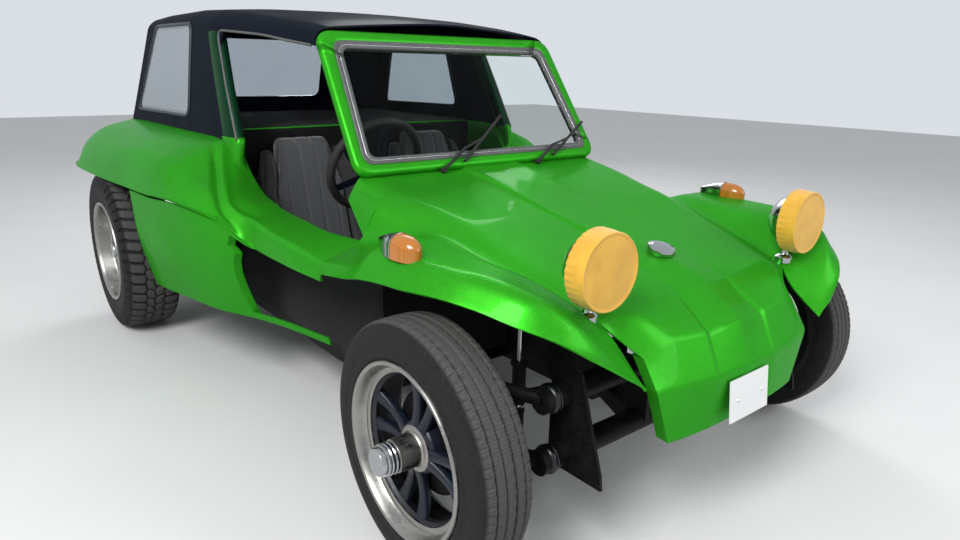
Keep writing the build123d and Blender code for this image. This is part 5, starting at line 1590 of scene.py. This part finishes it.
def build_stage():
    """A pale floor, even light from the sky, and three round lamps. Camera, glossy and
    transmitted rays see a pale sky of strength 1 in place of the even light."""
    look = bpy.context.scene.buggy_look
    steps = np.linspace(-FLOOR_REACH, FLOOR_REACH, FLOOR_LINES)
    xx, yy = np.meshgrid(steps, steps, indexing="ij")
    points, faces = join_grids([(np.stack([xx, yy, np.zeros_like(xx)], -1), True, False, False)])
    mesh = bpy.data.meshes.new("floor")
    mesh.from_pydata(points.tolist(), [], faces.tolist())
    mesh.materials.append(clouded(
        "studio floor", (1.6, 5.0), (0.60, 0.60, 0.60), (0.66, 0.66, 0.655), 0.85, (0.001, 0.2),
        fine=(60.0, 4.0),
    ))
    floor = bpy.data.objects.new("floor", mesh)
    bpy.context.scene.collection.objects.link(floor)
    world = bpy.data.worlds.new("studio")
    bpy.context.scene.world = world
    world.use_nodes = True
    nodes, links = world.node_tree.nodes, world.node_tree.links
    light = nodes["Background"]
    light.inputs["Color"].default_value = (0.93, 0.96, 1.0, 1.0)
    light.inputs["Strength"].default_value = look.sky_level
    seen = nodes.new("ShaderNodeBackground")
    seen.inputs["Color"].default_value = (0.70, 0.74, 0.79, 1.0)
    seen.inputs["Strength"].default_value = 1.0
    path = nodes.new("ShaderNodeLightPath")
    pick = nodes.new("ShaderNodeMixShader")
    most = path.outputs["Is Camera Ray"]
    for name in ("Is Glossy Ray", "Is Transmission Ray"):
        either = nodes.new("ShaderNodeMath")
        either.operation = "MAXIMUM"
        links.new(most, either.inputs[0])
        links.new(path.outputs[name], either.inputs[1])
        most = either.outputs[0]
    links.new(most, pick.inputs[0])
    links.new(light.outputs[0], pick.inputs[1])
    links.new(seen.outputs[0], pick.inputs[2])
    links.new(pick.outputs[0], nodes["World Output"].inputs[0])
    for name, place, size_m, power in (
        ("key", (2.2, -3.4, 3.6), 2.2, look.key_power),
        ("fill", (4.5, 2.0, 2.6), 3.0, look.key_power * 0.35),
        ("back", (-3.2, 2.6, 3.4), 2.6, look.key_power * 0.4),
    ):
        data = bpy.data.lights.new(name, "AREA")
        data.shape = "DISK"
        data.size = size_m
        data.energy = power
        lamp = bpy.data.objects.new(name, data)
        lamp.location = place
        lamp.rotation_euler = (Vector(place) - Vector(LAMPS_AIM)).to_track_quat("Z", "Y").to_euler()
        bpy.context.scene.collection.objects.link(lamp)
    bpy.context.scene.view_settings.view_transform = "Standard"


# ---------------------------------------------------------------- add-on parts


class BuggyLook(bpy.types.PropertyGroup):
    """Colours and levels that a user would change."""

    body_colour: bpy.props.FloatVectorProperty(
        name="Body colour", description="Base colour of the moulded body panels",
        subtype="COLOR", size=3, default=(0.022, 0.36, 0.010), min=0.0, max=1.0,
    )
    key_power: bpy.props.FloatProperty(
        name="Key light", description="Power of the largest lamp", default=230.0, min=0.0, unit="POWER",
    )
    sky_level: bpy.props.FloatProperty(
        name="Sky level", description="Strength of the even light", default=0.62, min=0.0
    )


class BUGGY_OT_stage(bpy.types.Operator):
    """Camera, floor, sky and lamps"""

    bl_idname = "buggy.stage"
    bl_label = "Stage"

    def execute(self, context):
        place_camera()
        build_stage()
        return {"FINISHED"}


class BUGGY_OT_finishes(bpy.types.Operator):
    """Materials for every solid of the frame"""

    bl_idname = "buggy.finishes"
    bl_label = "Finishes"

    def execute(self, context):
        FINISH.update(build_finishes())
        for row in frame["record"]["subparts"]:
            thing = frame["nodes"][row["node"]]
            finish = NODE_FINISH.get(row["node"], row["material_slot"])
            if not thing.material_slots:
                thing.data.materials.append(None)
            for place in thing.material_slots:
                place.material = FINISH[finish]
        return {"FINISHED"}


class BUGGY_OT_front(bpy.types.Operator):
    """Bonnet, wings, nose, screen surround and seal"""

    bl_idname = "buggy.front"
    bl_label = "Front moulding"

    def execute(self, context):
        front_moulding_skin()
        screen_pieces()
        return {"FINISHED"}


class BUGGY_OT_rear(bpy.types.Operator):
    """Sills, rear wings, deck and side pods"""

    bl_idname = "buggy.rear"
    bl_label = "Rear tub"

    def execute(self, context):
        rear_tub_skin()
        for word, side in SIDES:
            pod_piece(word, side)
        deck_carpet()
        return {"FINISHED"}


class BUGGY_OT_wheels(bpy.types.Operator):
    """Tyres, rims, spokes, caps and drums"""

    bl_idname = "buggy.wheels"
    bl_label = "Wheels"

    def execute(self, context):
        for name, side, x, y, radius, half, lip, face, reach in WHEELS:
            tyre_piece(name, side, x, y, radius, half, lip, x < 0)
            rim_pieces(name, side, x, y, radius, lip, face)
            hub_pieces(name, side, x, y, radius, face, reach)
        return {"FINISHED"}


class BUGGY_OT_lamps(bpy.types.Operator):
    """Headlamps and their covers"""

    bl_idname = "buggy.lamps"
    bl_label = "Lamps"

    def execute(self, context):
        headlamp_pieces()
        return {"FINISHED"}


class BUGGY_OT_hardtop(bpy.types.Operator):
    """Columns, door seals and window frames of the hardtop"""

    bl_idname = "buggy.hardtop"
    bl_label = "Hardtop trim"

    def execute(self, context):
        for word, side in SIDES:
            pillar_piece(word, side)
            quarter_frame(word, side)
        return {"FINISHED"}


class BUGGY_OT_seats(bpy.types.Operator):
    """Stuffed cushions, backs and raised sides of both seats"""

    bl_idname = "buggy.seats"
    bl_label = "Seats"

    def execute(self, context):
        for word, side in SIDES:
            seat_pieces(word, side)
        return {"FINISHED"}


class BUGGY_OT_steering(bpy.types.Operator):
    """Steering wheel"""

    bl_idname = "buggy.steering"
    bl_label = "Steering wheel"

    def execute(self, context):
        steering_pieces()
        return {"FINISHED"}


class BUGGY_OT_fittings(bpy.types.Operator):
    """Indicators, filler cap, damper rods and sleeves, beam boots and plate bolts"""

    bl_idname = "buggy.fittings"
    bl_label = "Fittings"

    def execute(self, context):
        for word, side in SIDES:
            indicator_pieces(word, side)
        filler_piece()
        suspension_pieces()
        plate_bolts()
        return {"FINISHED"}


STEPS = (
    BUGGY_OT_stage, BUGGY_OT_finishes, BUGGY_OT_front, BUGGY_OT_rear, BUGGY_OT_wheels, BUGGY_OT_lamps,
    BUGGY_OT_hardtop, BUGGY_OT_seats, BUGGY_OT_steering, BUGGY_OT_fittings,
)


class BUGGY_PT_panel(bpy.types.Panel):
    """Colours, levels and every step in order"""

    bl_label = "Buggy"
    bl_idname = "BUGGY_PT_panel"
    bl_space_type = "VIEW_3D"
    bl_region_type = "UI"
    bl_category = "Buggy"

    def draw(self, context):
        look = context.scene.buggy_look
        for key in look.bl_rna.properties.keys():
            if key not in ("rna_type", "name"):
                self.layout.prop(look, key)
        for step in STEPS:
            self.layout.operator(step.bl_idname)


CLASSES = (BuggyLook, *STEPS, BUGGY_PT_panel)


def register():
    for item in CLASSES:
        bpy.utils.register_class(item)
    bpy.types.Scene.buggy_look = bpy.props.PointerProperty(type=BuggyLook)


def unregister():
    del bpy.types.Scene.buggy_look
    for item in reversed(CLASSES):
        bpy.utils.unregister_class(item)


def main():
    register()
    for step in STEPS:
        group, name = step.bl_idname.split(".")
        getattr(getattr(bpy.ops, group), name)()


if __name__ == "__main__":
    main()
